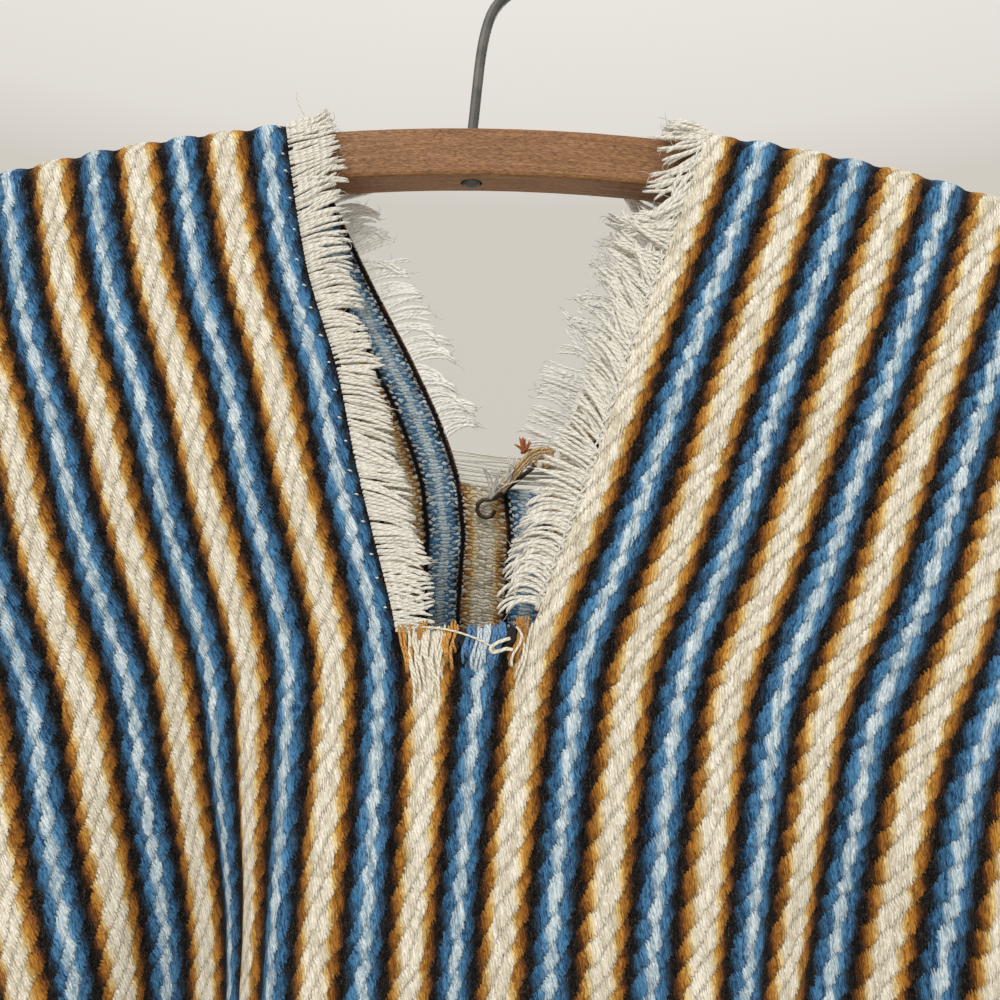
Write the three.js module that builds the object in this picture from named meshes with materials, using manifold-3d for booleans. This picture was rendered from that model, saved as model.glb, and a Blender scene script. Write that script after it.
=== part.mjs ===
// A serape poncho hanging on its wooden bow hanger.
// Units are millimetres. +Z is up, -Y is the front of the garment and +X is to the right as seen
// from the front. The origin is the seat inside the hanger's hook, where a rail carries it.
//
// The garment is one handwoven length of cloth with a neck slot cut along its warp. It is folded over
// the hanger at the shoulders, so its front and back panels hang from one fold, open at both sides.

import * as THREE from "three";
import { mergeVertices } from "three/addons/utils/BufferGeometryUtils.js";
import Module from "manifold-3d";

// ---------------------------------------------------------------- driving dimensions

// Hanger: a bow-shaped bar and a wire hook that passes through its middle.
const BAR_LENGTH = 410;
const BAR_HEIGHT = 17.2;
const BAR_THICKNESS = 17;
const BAR_EDGE_RADIUS = 1.3;
const BOW_RADIUS = 680; // of the bar's top edge
const SEAT_HEIGHT = 94; // from the middle of the bar's top up to the seat
const WIRE_DIAMETER = 4;
const STEM_X = -2.4; // where the hook's stem passes through the bar
const HOOK_RADIUS = 24; // of the wire's centre line round the hook
const PEEN_DIAMETER = 6.8;
const RECESS_DIAMETER = 8;
const RECESS_DEPTH = 2.6;
const CLEARANCE = 0.3; // between pieces that touch

// Cloth: u runs across it from the slot's left edge, v runs down it from the shoulder fold.
const CLOTH_THICKNESS = 3;
const SLOT_WIDTH = 37.4;
const SIDE_WIDTH = 361.3; // from an edge of the slot to the side of the garment
const DROP = 750; // from the shoulder fold to the hem, front and back alike
const FRONT_SLOT = 197;
const BACK_SLOT = 134;
const HEM_DEPTH = 12;
const HEM_THICKNESS = 5;

// How the cloth goes over the bar, and how far each panel stands out as it hangs.
const ARCH_HALF_WIDTH = 11.4;
const ARCH_HEIGHT = 11;
const ARCH_TOP = 4.2; // of the cloth's middle surface over the bar's top
const ARCH_RUN = 19.1; // cloth used from the fold down to where it leaves the bar
const ARCH_POWER = 3.2;
const STAND_OFF = { front: 24, back: 14 };
const STAND_OFF_RUN = 260;

// Past the bar's ends the fold line turns down until it falls this steeply.
const BAR_HOLD = 206; // half of the bar's length that carries cloth
const DROOP_SLOPE = 0.85;
const DROOP_RUN = 70;

// The lean of the slot's edges is shared by the whole panel, and fades towards the sides.
const LEAN_HELD = 130;
const LEAN_AT_SIDE = 0.5;

// Where the slot's edges run, as x at each distance down the cloth. Below a slot the same lines
// are the edges of the strip under it.
const EDGES = [
  { down: 0, front_left: -69.4, front_right: 86, back_left: -69.4, back_right: 86 },
  { down: 62, front_left: -58.4, front_right: 66, back_left: -42.7, back_right: 61 },
  { down: 102, front_left: -46.4, front_right: 53, back_left: -24, back_right: 45 },
  { down: 134, front_left: -39.4, front_right: 43, back_left: -10.9, back_right: 33 },
  { down: 162, front_left: -32.4, front_right: 34, back_left: -3.8, back_right: 34 },
  { down: 194, front_left: -24.4, front_right: 22.4, back_left: -4.8, back_right: 34 },
  { down: 216, front_left: -22.4, front_right: 17, back_left: -5.8, back_right: 33 },
  { down: 302, front_left: -25.4, front_right: 9, back_left: -7.8, back_right: 32 },
  { down: 422, front_left: -31.4, front_right: 6, back_left: -7.8, back_right: 32 },
  { down: 750, front_left: -32.4, front_right: 5, back_left: -7.8, back_right: 32 },
];

// The largest folds. at: distance outwards from the slot's edge; depth: inwards, so a trough is
// positive and a ridge negative; from and full: where down the cloth it starts and is complete.
const FOLDS = [
  { panel: "front", side: "left", at: 90, width: 38, depth: 30, from: 75, full: 350, drift: 14 },
  { panel: "front", side: "left", at: 25, width: 33, depth: -10, from: 187, full: 300, drift: 0 },
  { panel: "front", side: "left", at: 132, width: 29, depth: -8, from: 173, full: 480, drift: 6 },
  { panel: "front", side: "left", at: 186, width: 25, depth: 15, from: 120, full: 520, drift: -4 },
  { panel: "front", side: "left", at: 236, width: 27, depth: -14, from: 40, full: 420, drift: 3 },
  { panel: "front", side: "left", at: 284, width: 24, depth: 18, from: 60, full: 360, drift: 5 },
  { panel: "front", side: "left", at: 334, width: 24, depth: -13, from: 30, full: 480, drift: -3 },
  { panel: "front", side: "right", at: 34, width: 40, depth: -3, from: 217, full: 570, drift: 4 },
  { panel: "front", side: "right", at: 124, width: 30, depth: 16, from: 150, full: 364, drift: -4 },
  { panel: "front", side: "right", at: 172, width: 28, depth: -14, from: 90, full: 470, drift: 5 },
  { panel: "front", side: "right", at: 226, width: 24, depth: 19, from: 50, full: 400, drift: -3 },
  { panel: "front", side: "right", at: 274, width: 26, depth: -13, from: 40, full: 520, drift: 6 },
  { panel: "front", side: "right", at: 328, width: 25, depth: 14, from: 70, full: 380, drift: -4 },
  { panel: "back", side: "left", at: 62, width: 36, depth: -8, from: 180, full: 560, drift: 6 },
  { panel: "back", side: "left", at: 124, width: 28, depth: 12, from: 150, full: 470, drift: -5 },
  { panel: "back", side: "left", at: 178, width: 27, depth: -13, from: 90, full: 430, drift: 4 },
  { panel: "back", side: "left", at: 232, width: 25, depth: 11, from: 50, full: 520, drift: 3 },
  { panel: "back", side: "left", at: 286, width: 26, depth: -17, from: 60, full: 400, drift: -4 },
  { panel: "back", side: "left", at: 338, width: 22, depth: 10, from: 40, full: 450, drift: 2 },
  { panel: "back", side: "right", at: 44, width: 34, depth: -9, from: 150, full: 520, drift: -4 },
  { panel: "back", side: "right", at: 104, width: 29, depth: 11, from: 140, full: 430, drift: 6 },
  { panel: "back", side: "right", at: 166, width: 30, depth: -15, from: 80, full: 500, drift: -3 },
  { panel: "back", side: "right", at: 222, width: 25, depth: 12, from: 60, full: 400, drift: 5 },
  { panel: "back", side: "right", at: 270, width: 24, depth: -14, from: 40, full: 460, drift: 3 },
  { panel: "back", side: "right", at: 326, width: 26, depth: 11, from: 60, full: 540, drift: -4 },
];

// Fringe: the cut weft along each edge of the slot. reach: how far it stands into the slot.
const FRINGES = [
  { name: "fringe_front_left", panel: "front", side: "left", reach: 16, curl: 3, stops: 6 },
  { name: "fringe_front_right", panel: "front", side: "right", reach: 24, curl: 5, stops: 10 },
  { name: "fringe_back_left", panel: "back", side: "left", reach: 15, curl: 2, stops: 4 },
  { name: "fringe_back_right", panel: "back", side: "right", reach: 17, curl: 2, stops: 8 },
];
const FRINGE_THICKNESS = 2.4;
const FRINGE_SHORTEST = 0.45; // of the full reach, at the bottom of the slot

// A small wire hook, sewn with thread to the right corner of the back slot.
const NECK_WIRE_DIAMETER = 1.7;
const NECK_THREAD_DIAMETER = 4;
const NECK_HOOK_Y = 11.8;
const NECK_HOOK_ROUTE = [
  { x: 23.4, below_bar: 121.8 },
  { x: 17.4, below_bar: 126.7 },
  { x: 11.5, below_bar: 131.7 },
  { x: 8.8, below_bar: 134.1 },
  { x: 6.2, below_bar: 135.3 },
  { x: 3.4, below_bar: 135.2 },
  { x: 1.3, below_bar: 136.7 },
  { x: 0.7, below_bar: 139.2 },
  { x: 2, below_bar: 141.6 },
  { x: 4.6, below_bar: 142.4 },
  { x: 7, below_bar: 141.3 },
  { x: 7.7, below_bar: 139.4 },
];
const NECK_THREAD_ROUTE = [
  { x: 29.5, below_bar: 115.4 },
  { x: 27, below_bar: 118 },
  { x: 23.9, below_bar: 121.3 },
];

// ---------------------------------------------------------------- materials

const finish = (color, roughness, metalness) =>
  new THREE.MeshStandardMaterial({ color, roughness, metalness });
const WOOD = finish(0x96693f, 0.6, 0);
const STEEL = finish(0x4a4c48, 0.38, 0.9);
const DARK_STEEL = finish(0x2b211b, 0.45, 0.8);
const STRIPED_CLOTH = finish(0xb7a98c, 0.95, 0);
const COTTON = finish(0xe1ded4, 0.95, 0);
const GOLD_THREAD = finish(0xb98a4a, 0.9, 0);

// ---------------------------------------------------------------- small helpers

// Evenly spaced values from one end to the other, both included.
const spread = (from, to, count) =>
  Array.from({ length: count + 1 }, (_, i) => from + ((to - from) * i) / count);

// 0 up to the first value, 1 from the second, and a soft rise between them.
function ease(from, to, value) {
  const t = THREE.MathUtils.clamp((value - from) / (to - from), 0, 1);
  return t * t * (3 - 2 * t);
}

// A smooth curve through a column of a table whose rows are ordered by "down".
function along(table, column, down) {
  let row = 0;
  while (row < table.length - 2 && down > table[row + 1].down) row += 1;
  const slopeAt = (i) => {
    const before = table[Math.max(i - 1, 0)];
    const after = table[Math.min(i + 1, table.length - 1)];
    return (after[column] - before[column]) / (after.down - before.down);
  };
  const [a, b] = [table[row], table[row + 1]];
  const span = b.down - a.down;
  const t = THREE.MathUtils.clamp((down - a.down) / span, 0, 1);
  const rise = b[column] - a[column];
  const bend = (slopeAt(row) + slopeAt(row + 1)) * span - 2 * rise;
  const start = slopeAt(row) * span;
  return a[column] + t * (start + t * (rise - start - bend + t * bend));
}

// One mesh geometry from the corner points of its triangles, three by three.
function geometryOf(corners) {
  return mergeVertices(new THREE.BufferGeometry().setFromPoints(corners), 1e-4);
}

// ---------------------------------------------------------------- the hang of the cloth

// The slot edge that a point belongs to, how far out it lies, and its place in the strip between.
function placeAcross(u) {
  if (u < 0) return { side: "left", out: -u, sign: -1 };
  if (u > SLOT_WIDTH) return { side: "right", out: u - SLOT_WIDTH, sign: 1 };
  return { side: "strip", out: 0, sign: 0 };
}

// Sine of the fold line's slope: the bow's own slope on the bar, then a steeper fall past its end.
function foldSlope(side, out) {
  const edge = Math.abs(EDGES[0][`front_${side}`]);
  const endOut = BAR_HOLD - edge;
  if (out <= endOut) return (edge + out) / BOW_RADIUS;
  const atEnd = BAR_HOLD / BOW_RADIUS;
  return atEnd + (DROOP_SLOPE - atEnd) * ease(0, DROOP_RUN, out - endOut);
}

// Depth of the folds and their slope across the cloth, both positive inwards.
function foldsAt(panel, side, out, down) {
  let depth = 0;
  let slope = 0;
  for (const fold of FOLDS) {
    if (fold.panel !== panel || fold.side !== side) continue;
    const centre = fold.at + fold.drift * ease(fold.from, DROP, down);
    const off = (out - centre) / fold.width;
    const part = fold.depth * ease(fold.from, fold.full, down) * Math.exp(-off * off);
    depth += part;
    slope -= (2 * part * off) / fold.width;
  }
  return { depth, slope };
}

// How far sideways a stretch of cloth gets, once its folds and its fall have taken their share.
const REACH_STEP = 4;
const STEEPEST = 0.93;
function reachOut(panel, side, out, down) {
  let reach = 0;
  const count = Math.max(1, Math.round(out / REACH_STEP));
  for (let i = 0; i < count; i += 1) {
    const middle = ((i + 0.5) * out) / count;
    const folds = foldsAt(panel, side, middle, down).slope;
    const taken = Math.min(Math.hypot(folds, foldSlope(side, middle)), STEEPEST);
    reach += (Math.sqrt(1 - taken * taken) * out) / count;
  }
  return reach;
}

function xOf(panel, u, down) {
  const left = along(EDGES, `${panel}_left`, down);
  const right = along(EDGES, `${panel}_right`, down);
  const { side, out, sign } = placeAcross(u);
  if (side === "strip") return left + ((right - left) * u) / SLOT_WIDTH;
  const top = EDGES[0][`${panel}_${side}`];
  const lean = (side === "left" ? left : right) - top;
  const share = 1 - (1 - LEAN_AT_SIDE) * ease(LEAN_HELD, SIDE_WIDTH, out);
  return top + lean * share + sign * reachOut(panel, side, out, down);
}

// Height of the bow above or below its middle, level past the stretch that carries cloth.
function bowHeight(x) {
  const held = Math.min(Math.abs(x), BAR_HOLD);
  return Math.sqrt(BOW_RADIUS ** 2 - held ** 2) - BOW_RADIUS;
}

// Height of the fold line on one side, taking its height at the bar's middle as zero.
function foldHeight(side, out) {
  const count = Math.max(1, Math.round(out / REACH_STEP));
  const step = out / count;
  let height = bowHeight(EDGES[0][`front_${side}`]);
  for (let i = 0; i < count; i += 1) height -= foldSlope(side, (i + 0.5) * step) * step;
  return height;
}

// How far the middle surface stands from the plane of the bar.
function depthOf(panel, u, down) {
  const turn = (Math.min(down / ARCH_RUN, 1) * Math.PI) / 2;
  const overBar = ARCH_HALF_WIDTH * Math.sin(turn) ** (2 / ARCH_POWER);
  const hanging = Math.max(down - ARCH_RUN, 0);
  const standOff = STAND_OFF[panel] * (1 - Math.exp(-hanging / STAND_OFF_RUN));
  const { side, out } = placeAcross(u);
  if (side !== "strip") return overBar + standOff - foldsAt(panel, side, out, down).depth;
  // Across the strip under the slot, the folds of its two edges run into each other.
  const left = foldsAt(panel, "left", 0, down).depth;
  const right = foldsAt(panel, "right", 0, down).depth;
  return overBar + standOff - THREE.MathUtils.lerp(left, right, u / SLOT_WIDTH);
}

// One warp line of a panel: its points at the given distances down the cloth, in order. The strip
// under a slot hangs from the slot's two edges, so its height is shared between theirs.
const FALL_STEP = 6;
const LEAST_FALL = 0.3;
function warpLine(panel, u, downs) {
  if (u <= 0 || u >= SLOT_WIDTH) return hangingLine(panel, u, downs);
  const left = hangingLine(panel, 0, downs);
  const right = hangingLine(panel, SLOT_WIDTH, downs);
  const facing = panel === "front" ? -1 : 1;
  return downs.map((down, j) => {
    const height = THREE.MathUtils.lerp(left[j].z, right[j].z, u / SLOT_WIDTH);
    return new THREE.Vector3(xOf(panel, u, down), facing * depthOf(panel, u, down), height);
  });
}

// One warp line as it hangs by itself: over the bar in an arch, then down at the cloth's own length.
function hangingLine(panel, u, downs) {
  const facing = panel === "front" ? -1 : 1;
  const side = u > 0 ? "right" : "left";
  const crest = foldHeight(side, placeAcross(u).out);
  const top = -SEAT_HEIGHT + ARCH_TOP + crest - bowHeight(xOf(panel, u, 0));
  const at = (down) => new THREE.Vector2(xOf(panel, u, down), facing * depthOf(panel, u, down));
  let reached = ARCH_RUN;
  let here = at(ARCH_RUN);
  let fallen = ARCH_HEIGHT - bowHeight(here.x);
  return downs.map((down) => {
    if (down < ARCH_RUN) {
      const turn = ((down / ARCH_RUN) * Math.PI) / 2;
      const drop = ARCH_HEIGHT * (1 - Math.cos(turn) ** (2 / ARCH_POWER));
      const { x, y } = at(down);
      return new THREE.Vector3(x, y, top + bowHeight(x) - drop);
    }
    const count = Math.max(1, Math.ceil((down - reached) / FALL_STEP));
    for (const next of spread(reached, down, count).slice(1)) {
      const run = next - reached;
      const there = at(next);
      const sideways = there.distanceTo(here);
      fallen += Math.sqrt(Math.max(run * run - sideways * sideways, (run * LEAST_FALL) ** 2));
      reached = next;
      here = there;
    }
    return new THREE.Vector3(here.x, here.y, top - fallen);
  });
}

// ---------------------------------------------------------------- walls

// Unit normals of a grid of points, towards the front. The first row lies along the fold, where the
// cloth runs level, along Y.
function gridNormals(grid) {
  const clampTo = (list, i) => list[THREE.MathUtils.clamp(i, 0, list.length - 1)];
  return grid.map((column, i) =>
    column.map((_, j) => {
      const across = clampTo(grid, i + 1)[j].clone().sub(clampTo(grid, i - 1)[j]);
      const down = clampTo(column, j + 1).clone().sub(clampTo(column, j - 1));
      if (j === 0) down.set(0, Math.sign(down.y), 0);
      return down.cross(across).normalize();
    }),
  );
}

// A closed wall on a grid of middle-surface points, which run to the right and then down.
// halfFront and halfBack give how much of its thickness lies on each side at a row;
// isOpen(i, j) says which cells are left out.
function wallOf(grid, halfFront, halfBack, isOpen = () => false) {
  const normals = gridNormals(grid);
  const moved = (half, sign) =>
    grid.map((column, i) =>
      column.map((p, j) => p.clone().addScaledVector(normals[i][j], sign * half(j))),
    );
  const near = moved(halfFront, 1);
  const far = moved(halfBack, -1);
  const isCell = (i, j) =>
    i >= 0 && j >= 0 && i < grid.length - 1 && j < grid[0].length - 1 && !isOpen(i, j);
  const facets = [];
  const addQuad = (a, b, c, d) => facets.push(a, b, c, a, c, d);
  for (let i = 0; i < grid.length - 1; i += 1) {
    for (let j = 0; j < grid[0].length - 1; j += 1) {
      if (!isCell(i, j)) continue;
      const corners = [[i, j], [i, j + 1], [i + 1, j + 1], [i + 1, j]];
      const beside = [[i - 1, j], [i, j + 1], [i + 1, j], [i, j - 1]];
      addQuad(...corners.map(([m, n]) => near[m][n]));
      addQuad(...corners.map(([m, n]) => far[m][n]).reverse());
      beside.forEach(([m, n], side) => {
        if (isCell(m, n)) return;
        const [p, q] = [corners[side], corners[(side + 1) % 4]];
        addQuad(near[q[0]][q[1]], near[p[0]][p[1]], far[p[0]][p[1]], far[q[0]][q[1]]);
      });
    }
  }
  return geometryOf(facets);
}

// ---------------------------------------------------------------- cloth pieces

const COLUMNS = [
  ...spread(-SIDE_WIDTH, -122, 10),
  ...spread(-112, -40, 7),
  ...spread(-20, 0, 1),
  SLOT_WIDTH / 2,
  ...spread(SLOT_WIDTH, SLOT_WIDTH + 150, 6),
  ...spread(SLOT_WIDTH + 172, SLOT_WIDTH + SIDE_WIDTH, 9),
];
const FIRST_ROW = CLEARANCE / 6;
const ROWS = [
  ...spread(FIRST_ROW, ARCH_RUN, 7),
  ...spread(45, BACK_SLOT, 3),
  ...spread(BACK_SLOT + 30, FRONT_SLOT, 1),
  ...spread(222, 300, 3),
  ...spread(350, DROP - HEM_DEPTH - 2, 7),
  DROP - HEM_DEPTH,
  DROP,
];

function panelGeometry(panel, slotLength) {
  const grid = COLUMNS.map((u) => warpLine(panel, u, ROWS));
  const half = CLOTH_THICKNESS / 2;
  // The hem is turned to the inside, so it thickens the wall on that side only.
  const inner = (j) => (ROWS[j] < DROP - HEM_DEPTH ? half : HEM_THICKNESS - half);
  const outer = () => half;
  const isSlot = (i, j) =>
    COLUMNS[i] >= 0 && COLUMNS[i + 1] <= SLOT_WIDTH && ROWS[j + 1] <= slotLength;
  return panel === "front" ? wallOf(grid, outer, inner, isSlot) : wallOf(grid, inner, outer, isSlot);
}

// A plain slab of the fringe's reach, standing into the slot square to its edge.
function fringeGeometry({ panel, side, reach, curl, stops }) {
  const slotLength = panel === "front" ? FRONT_SLOT : BACK_SLOT;
  const rows = ROWS.filter((down) => down < slotLength).concat(slotLength - stops);
  const inward = side === "left" ? 1 : -1;
  const facing = panel === "front" ? -1 : 1;
  const edge = warpLine(panel, side === "left" ? 0 : SLOT_WIDTH, rows);
  const strip = edge.map((point, j) => {
    const before = edge[Math.max(j - 1, 0)];
    const after = edge[Math.min(j + 1, edge.length - 1)];
    const lean = Math.atan2(Math.abs(after.x - before.x), before.z - after.z);
    const rise = lean * ease(ARCH_RUN, ARCH_RUN * 4, rows[j]);
    const out = new THREE.Vector3(inward * Math.cos(rise), 0, Math.sin(rise));
    const length = reach * (1 - (1 - FRINGE_SHORTEST) * ease(0.5, 1, rows[j] / slotLength));
    const lift = curl * ease(ARCH_RUN, ARCH_RUN * 3, rows[j]);
    return [CLEARANCE * 2, length / 2, length].map((far) => {
      const tip = point.clone().addScaledVector(out, far);
      tip.y += facing * lift * (far / length) ** 2;
      // Over the bar the fringe lies on the bow, which rises towards its middle.
      tip.z += (bowHeight(tip.x) - bowHeight(point.x)) * (1 - ease(ARCH_RUN, ARCH_RUN * 4, rows[j]));
      return tip;
    });
  });
  const across = [0, 1, 2].map((k) => strip.map((row) => row[k]));
  const half = () => FRINGE_THICKNESS / 2;
  return wallOf(side === "left" ? across : across.reverse(), half, half);
}

// ---------------------------------------------------------------- hanger pieces

const wasm = await Module();
wasm.setup();

function solidOf(geometry, position = new THREE.Vector3()) {
  const bare = geometry.clone().translate(position.x, position.y, position.z);
  bare.deleteAttribute("normal");
  bare.deleteAttribute("uv");
  const merged = mergeVertices(bare, 1e-4);
  return new wasm.Manifold(
    new wasm.Mesh({
      numProp: 3,
      vertProperties: merged.attributes.position.array,
      triVerts: new Uint32Array(merged.index.array),
    }),
  );
}

function geometryFromSolid(solid) {
  const { vertProperties, triVerts } = solid.getMesh();
  const geometry = new THREE.BufferGeometry();
  geometry.setAttribute("position", new THREE.BufferAttribute(vertProperties, 3));
  geometry.setIndex(new THREE.BufferAttribute(triVerts, 1));
  return geometry;
}

const upright = (radius, height, centreZ) =>
  solidOf(
    new THREE.CylinderGeometry(radius, radius, height, 24).rotateX(Math.PI / 2),
    new THREE.Vector3(STEM_X, 0, centreZ),
  );

// The bar: its bowed outline in the X-Z plane, with round ends, given its thickness along Y.
function barGeometry() {
  const centreZ = -SEAT_HEIGHT - BOW_RADIUS;
  const halfAngle = (BAR_LENGTH - BAR_HEIGHT) / 2 / (BOW_RADIUS - BAR_HEIGHT / 2);
  const middle = Math.PI / 2;
  const endRadius = BAR_HEIGHT / 2;
  const endMiddle = BOW_RADIUS - endRadius;
  const end = (angle) => [Math.cos(angle) * endMiddle, centreZ + Math.sin(angle) * endMiddle];
  const [left, right] = [middle + halfAngle, middle - halfAngle];
  const outline = new THREE.Shape();
  outline.absarc(0, centreZ, BOW_RADIUS, left, right, true);
  outline.absarc(...end(right), endRadius, right, right - Math.PI, true);
  outline.absarc(0, centreZ, BOW_RADIUS - BAR_HEIGHT, right, left, false);
  outline.absarc(...end(left), endRadius, left + Math.PI, left, true);
  const blank = new THREE.ExtrudeGeometry(outline, {
    depth: BAR_THICKNESS - 2 * BAR_EDGE_RADIUS,
    bevelEnabled: true,
    bevelThickness: BAR_EDGE_RADIUS,
    bevelSize: BAR_EDGE_RADIUS,
    bevelOffset: -BAR_EDGE_RADIUS,
    bevelSegments: 2,
    curveSegments: 14,
  });
  blank.rotateX(Math.PI / 2).translate(0, BAR_THICKNESS / 2 - BAR_EDGE_RADIUS, 0);
  const underside = -SEAT_HEIGHT - BAR_HEIGHT;
  const bore = upright(WIRE_DIAMETER / 2 + CLEARANCE, BAR_HEIGHT * 2, underside + BAR_HEIGHT / 2);
  const recess = upright(RECESS_DIAMETER / 2, RECESS_DEPTH * 2, underside);
  return geometryFromSolid(solidOf(blank).subtract(bore).subtract(recess));
}

// A round wire along a route. halfSides is half the number of sides of its section.
function wireGeometry(route, diameter, halfSides, steps) {
  const section = new THREE.Shape().absarc(0, 0, diameter / 2, 0, 2 * Math.PI, false);
  return new THREE.ExtrudeGeometry(section, {
    steps,
    curveSegments: halfSides,
    bevelEnabled: false,
    extrudePath: new THREE.CatmullRomCurve3(route, false, "centripetal"),
  });
}

// The hook: straight up through the bar, a lean to the right, then round over the rail and down to
// its tip on the left. Its foot is peened over in the recess under the bar.
function hookGeometry() {
  const barTop = -SEAT_HEIGHT;
  const wire = WIRE_DIAMETER / 2;
  const centreZ = wire - HOOK_RADIUS;
  const foot = barTop - BAR_HEIGHT + RECESS_DEPTH / 2;
  const shank = [
    [STEM_X, foot],
    [STEM_X, barTop - 8],
    [STEM_X, barTop + 0.5],
    [STEM_X + 0.5, barTop + 5],
    [STEM_X + 1.5, barTop + 15.5],
    [STEM_X + 2.7, barTop + 27.4],
    [STEM_X + 3.8, barTop + 35],
    [STEM_X + 5.4, barTop + 41.8],
    [STEM_X + 7.5, barTop + 47.2],
    [STEM_X + 10.7, barTop + 51.4],
    [STEM_X + 15.4, barTop + 55.2],
    [STEM_X + 20.6, barTop + 58.9],
  ];
  const [start, tip] = [-0.36, Math.PI * 1.12];
  const round = spread(start, tip, 14).map((angle) => [
    HOOK_RADIUS * Math.cos(angle),
    centreZ + HOOK_RADIUS * Math.sin(angle),
  ]);
  const route = [...shank, ...round].map(([x, z]) => new THREE.Vector3(x, 0, z));
  const peen = new THREE.SphereGeometry(PEEN_DIAMETER / 2, 14, 8);
  peen.scale(1, 1, 0.6);
  const peenZ = barTop - BAR_HEIGHT + RECESS_DEPTH / 2 - 1;
  const bent = solidOf(wireGeometry(route, WIRE_DIAMETER, 5, 64));
  return geometryFromSolid(bent.add(solidOf(peen, new THREE.Vector3(STEM_X, 0, peenZ))));
}

function neckPiece(route, diameter, steps) {
  const points = route.map((p) => new THREE.Vector3(p.x, NECK_HOOK_Y, -SEAT_HEIGHT - p.below_bar));
  return wireGeometry(points, diameter, 4, steps);
}

// ---------------------------------------------------------------- the garment on its hanger

const serape = new THREE.Group();

function addPiece(name, geometry, material) {
  const piece = new THREE.Mesh(geometry, material);
  piece.name = name;
  serape.add(piece);
}

addPiece("hanger_bar", barGeometry(), WOOD);
addPiece("hanger_hook", hookGeometry(), STEEL);
addPiece("front_panel", panelGeometry("front", FRONT_SLOT), STRIPED_CLOTH);
addPiece("back_panel", panelGeometry("back", BACK_SLOT), STRIPED_CLOTH);
for (const fringe of FRINGES) addPiece(fringe.name, fringeGeometry(fringe), COTTON);
addPiece("neck_hook", neckPiece(NECK_HOOK_ROUTE, NECK_WIRE_DIAMETER, 16), DARK_STEEL);
addPiece("neck_hook_thread", neckPiece(NECK_THREAD_ROUTE, NECK_THREAD_DIAMETER, 6), GOLD_THREAD);

export default serape;
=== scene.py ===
# %% [markdown]
# # A serape poncho on its wooden bow hanger
# One thick handwoven length of striped cloth is folded over a wooden hanger. A slot cut along its
# warp makes the neck, and the cut weft stands out along the slot as a white fringe.
# The packed model gives every size. It is loaded first, and nothing in it is moved or changed.

# %% The packed frame
import math

import bpy
import numpy as np
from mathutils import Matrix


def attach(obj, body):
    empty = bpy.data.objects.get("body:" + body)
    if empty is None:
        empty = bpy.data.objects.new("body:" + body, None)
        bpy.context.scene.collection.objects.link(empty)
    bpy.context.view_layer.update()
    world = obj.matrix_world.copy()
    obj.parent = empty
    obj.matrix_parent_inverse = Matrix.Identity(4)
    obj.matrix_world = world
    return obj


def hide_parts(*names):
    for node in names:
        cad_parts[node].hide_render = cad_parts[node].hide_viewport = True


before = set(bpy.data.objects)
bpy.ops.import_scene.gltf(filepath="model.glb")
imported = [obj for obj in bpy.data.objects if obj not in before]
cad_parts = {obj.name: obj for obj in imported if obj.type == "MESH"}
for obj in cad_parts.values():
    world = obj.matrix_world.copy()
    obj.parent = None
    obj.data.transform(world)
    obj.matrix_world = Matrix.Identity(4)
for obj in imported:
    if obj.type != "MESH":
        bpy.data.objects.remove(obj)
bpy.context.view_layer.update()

MM = 0.001

# %% [markdown]
# ## Where to stand
# The garment is seen from close by, level with the neck. A lens shorter than a normal one takes in
# the shoulders from there. The camera is turned a little about its own line of sight.

# %% Camera
scene = bpy.context.scene


def add_object(name, data):
    made = bpy.data.objects.new(name, data)
    scene.collection.objects.link(made)
    return made


CAMERA_PLACE, CAMERA_ROLL = (9.6 * MM, -301 * MM, -229.4 * MM), -0.65
camera_data = bpy.data.cameras.new("camera")
camera_data.lens = 29
camera_data.sensor_width = 36
camera_data.clip_start = 0.01
camera = add_object("camera", camera_data)
camera.location = CAMERA_PLACE
camera.rotation_euler = (math.radians(90), math.radians(CAMERA_ROLL), 0)
scene.camera = camera
print("camera lens", camera_data.lens, "mm")

# %% [markdown]
# ## A plain pale room
# A plain pale floor lies well under the hem. The background is one pale warm grey that is a little
# lighter overhead, which also fills the shadows. Its darker lower part is painted shade, as of a wall
# in the shadow under the bar. One wide lamp from the upper left shapes the folds, a weaker one on the
# right keeps their other sides open, and a third lights the back.


# %% Colours and the floor
def shade(red, green, blue):
    """A colour as a screen shows it, from 0 to 255, turned into the linear colour Blender uses."""
    linear = [((v / 255 + 0.055) / 1.055) ** 2.4 if v > 10 else v / 3294.6 for v in (red, green, blue)]
    return (*linear, 1.0)


FLOOR_SIZE, FLOOR_HEIGHT = 6, -1.12
bpy.ops.object.select_all(action="DESELECT")
bpy.ops.mesh.primitive_plane_add(size=FLOOR_SIZE, location=(0, 0, FLOOR_HEIGHT))
floor = bpy.context.object
floor.name = "floor"
floor_paint = bpy.data.materials.new("pale floor")
floor_paint.use_nodes = True
floor_shader = floor_paint.node_tree.nodes["Principled BSDF"]
floor_shader.inputs["Base Color"].default_value = shade(222, 218, 210)
floor_shader.inputs["Roughness"].default_value = 0.85
floor.data.materials.append(floor_paint)
print("floor at", FLOOR_HEIGHT, "m")

# %% Background
# The lower stops are darker as painted shade, as of a wall in the shadow under the bar.
SKY = [
    (0.0, (208, 203, 193)), (0.34, (209, 204, 195)), (0.41, (226, 222, 215)), (0.52, (233, 229, 223)),
]
scene.view_settings.view_transform = "Standard"
world = bpy.data.worlds.new("pale studio")
world.use_nodes = True
scene.world = world
sky = world.node_tree
direction = sky.nodes.new("ShaderNodeTexCoord")
parts = sky.nodes.new("ShaderNodeSeparateXYZ")
fade = sky.nodes.new("ShaderNodeValToRGB")
sky.links.new(direction.outputs["Generated"], parts.inputs[0])
sky.links.new(parts.outputs["Z"], fade.inputs[0])
sky.links.new(fade.outputs[0], sky.nodes["Background"].inputs["Color"])


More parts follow.
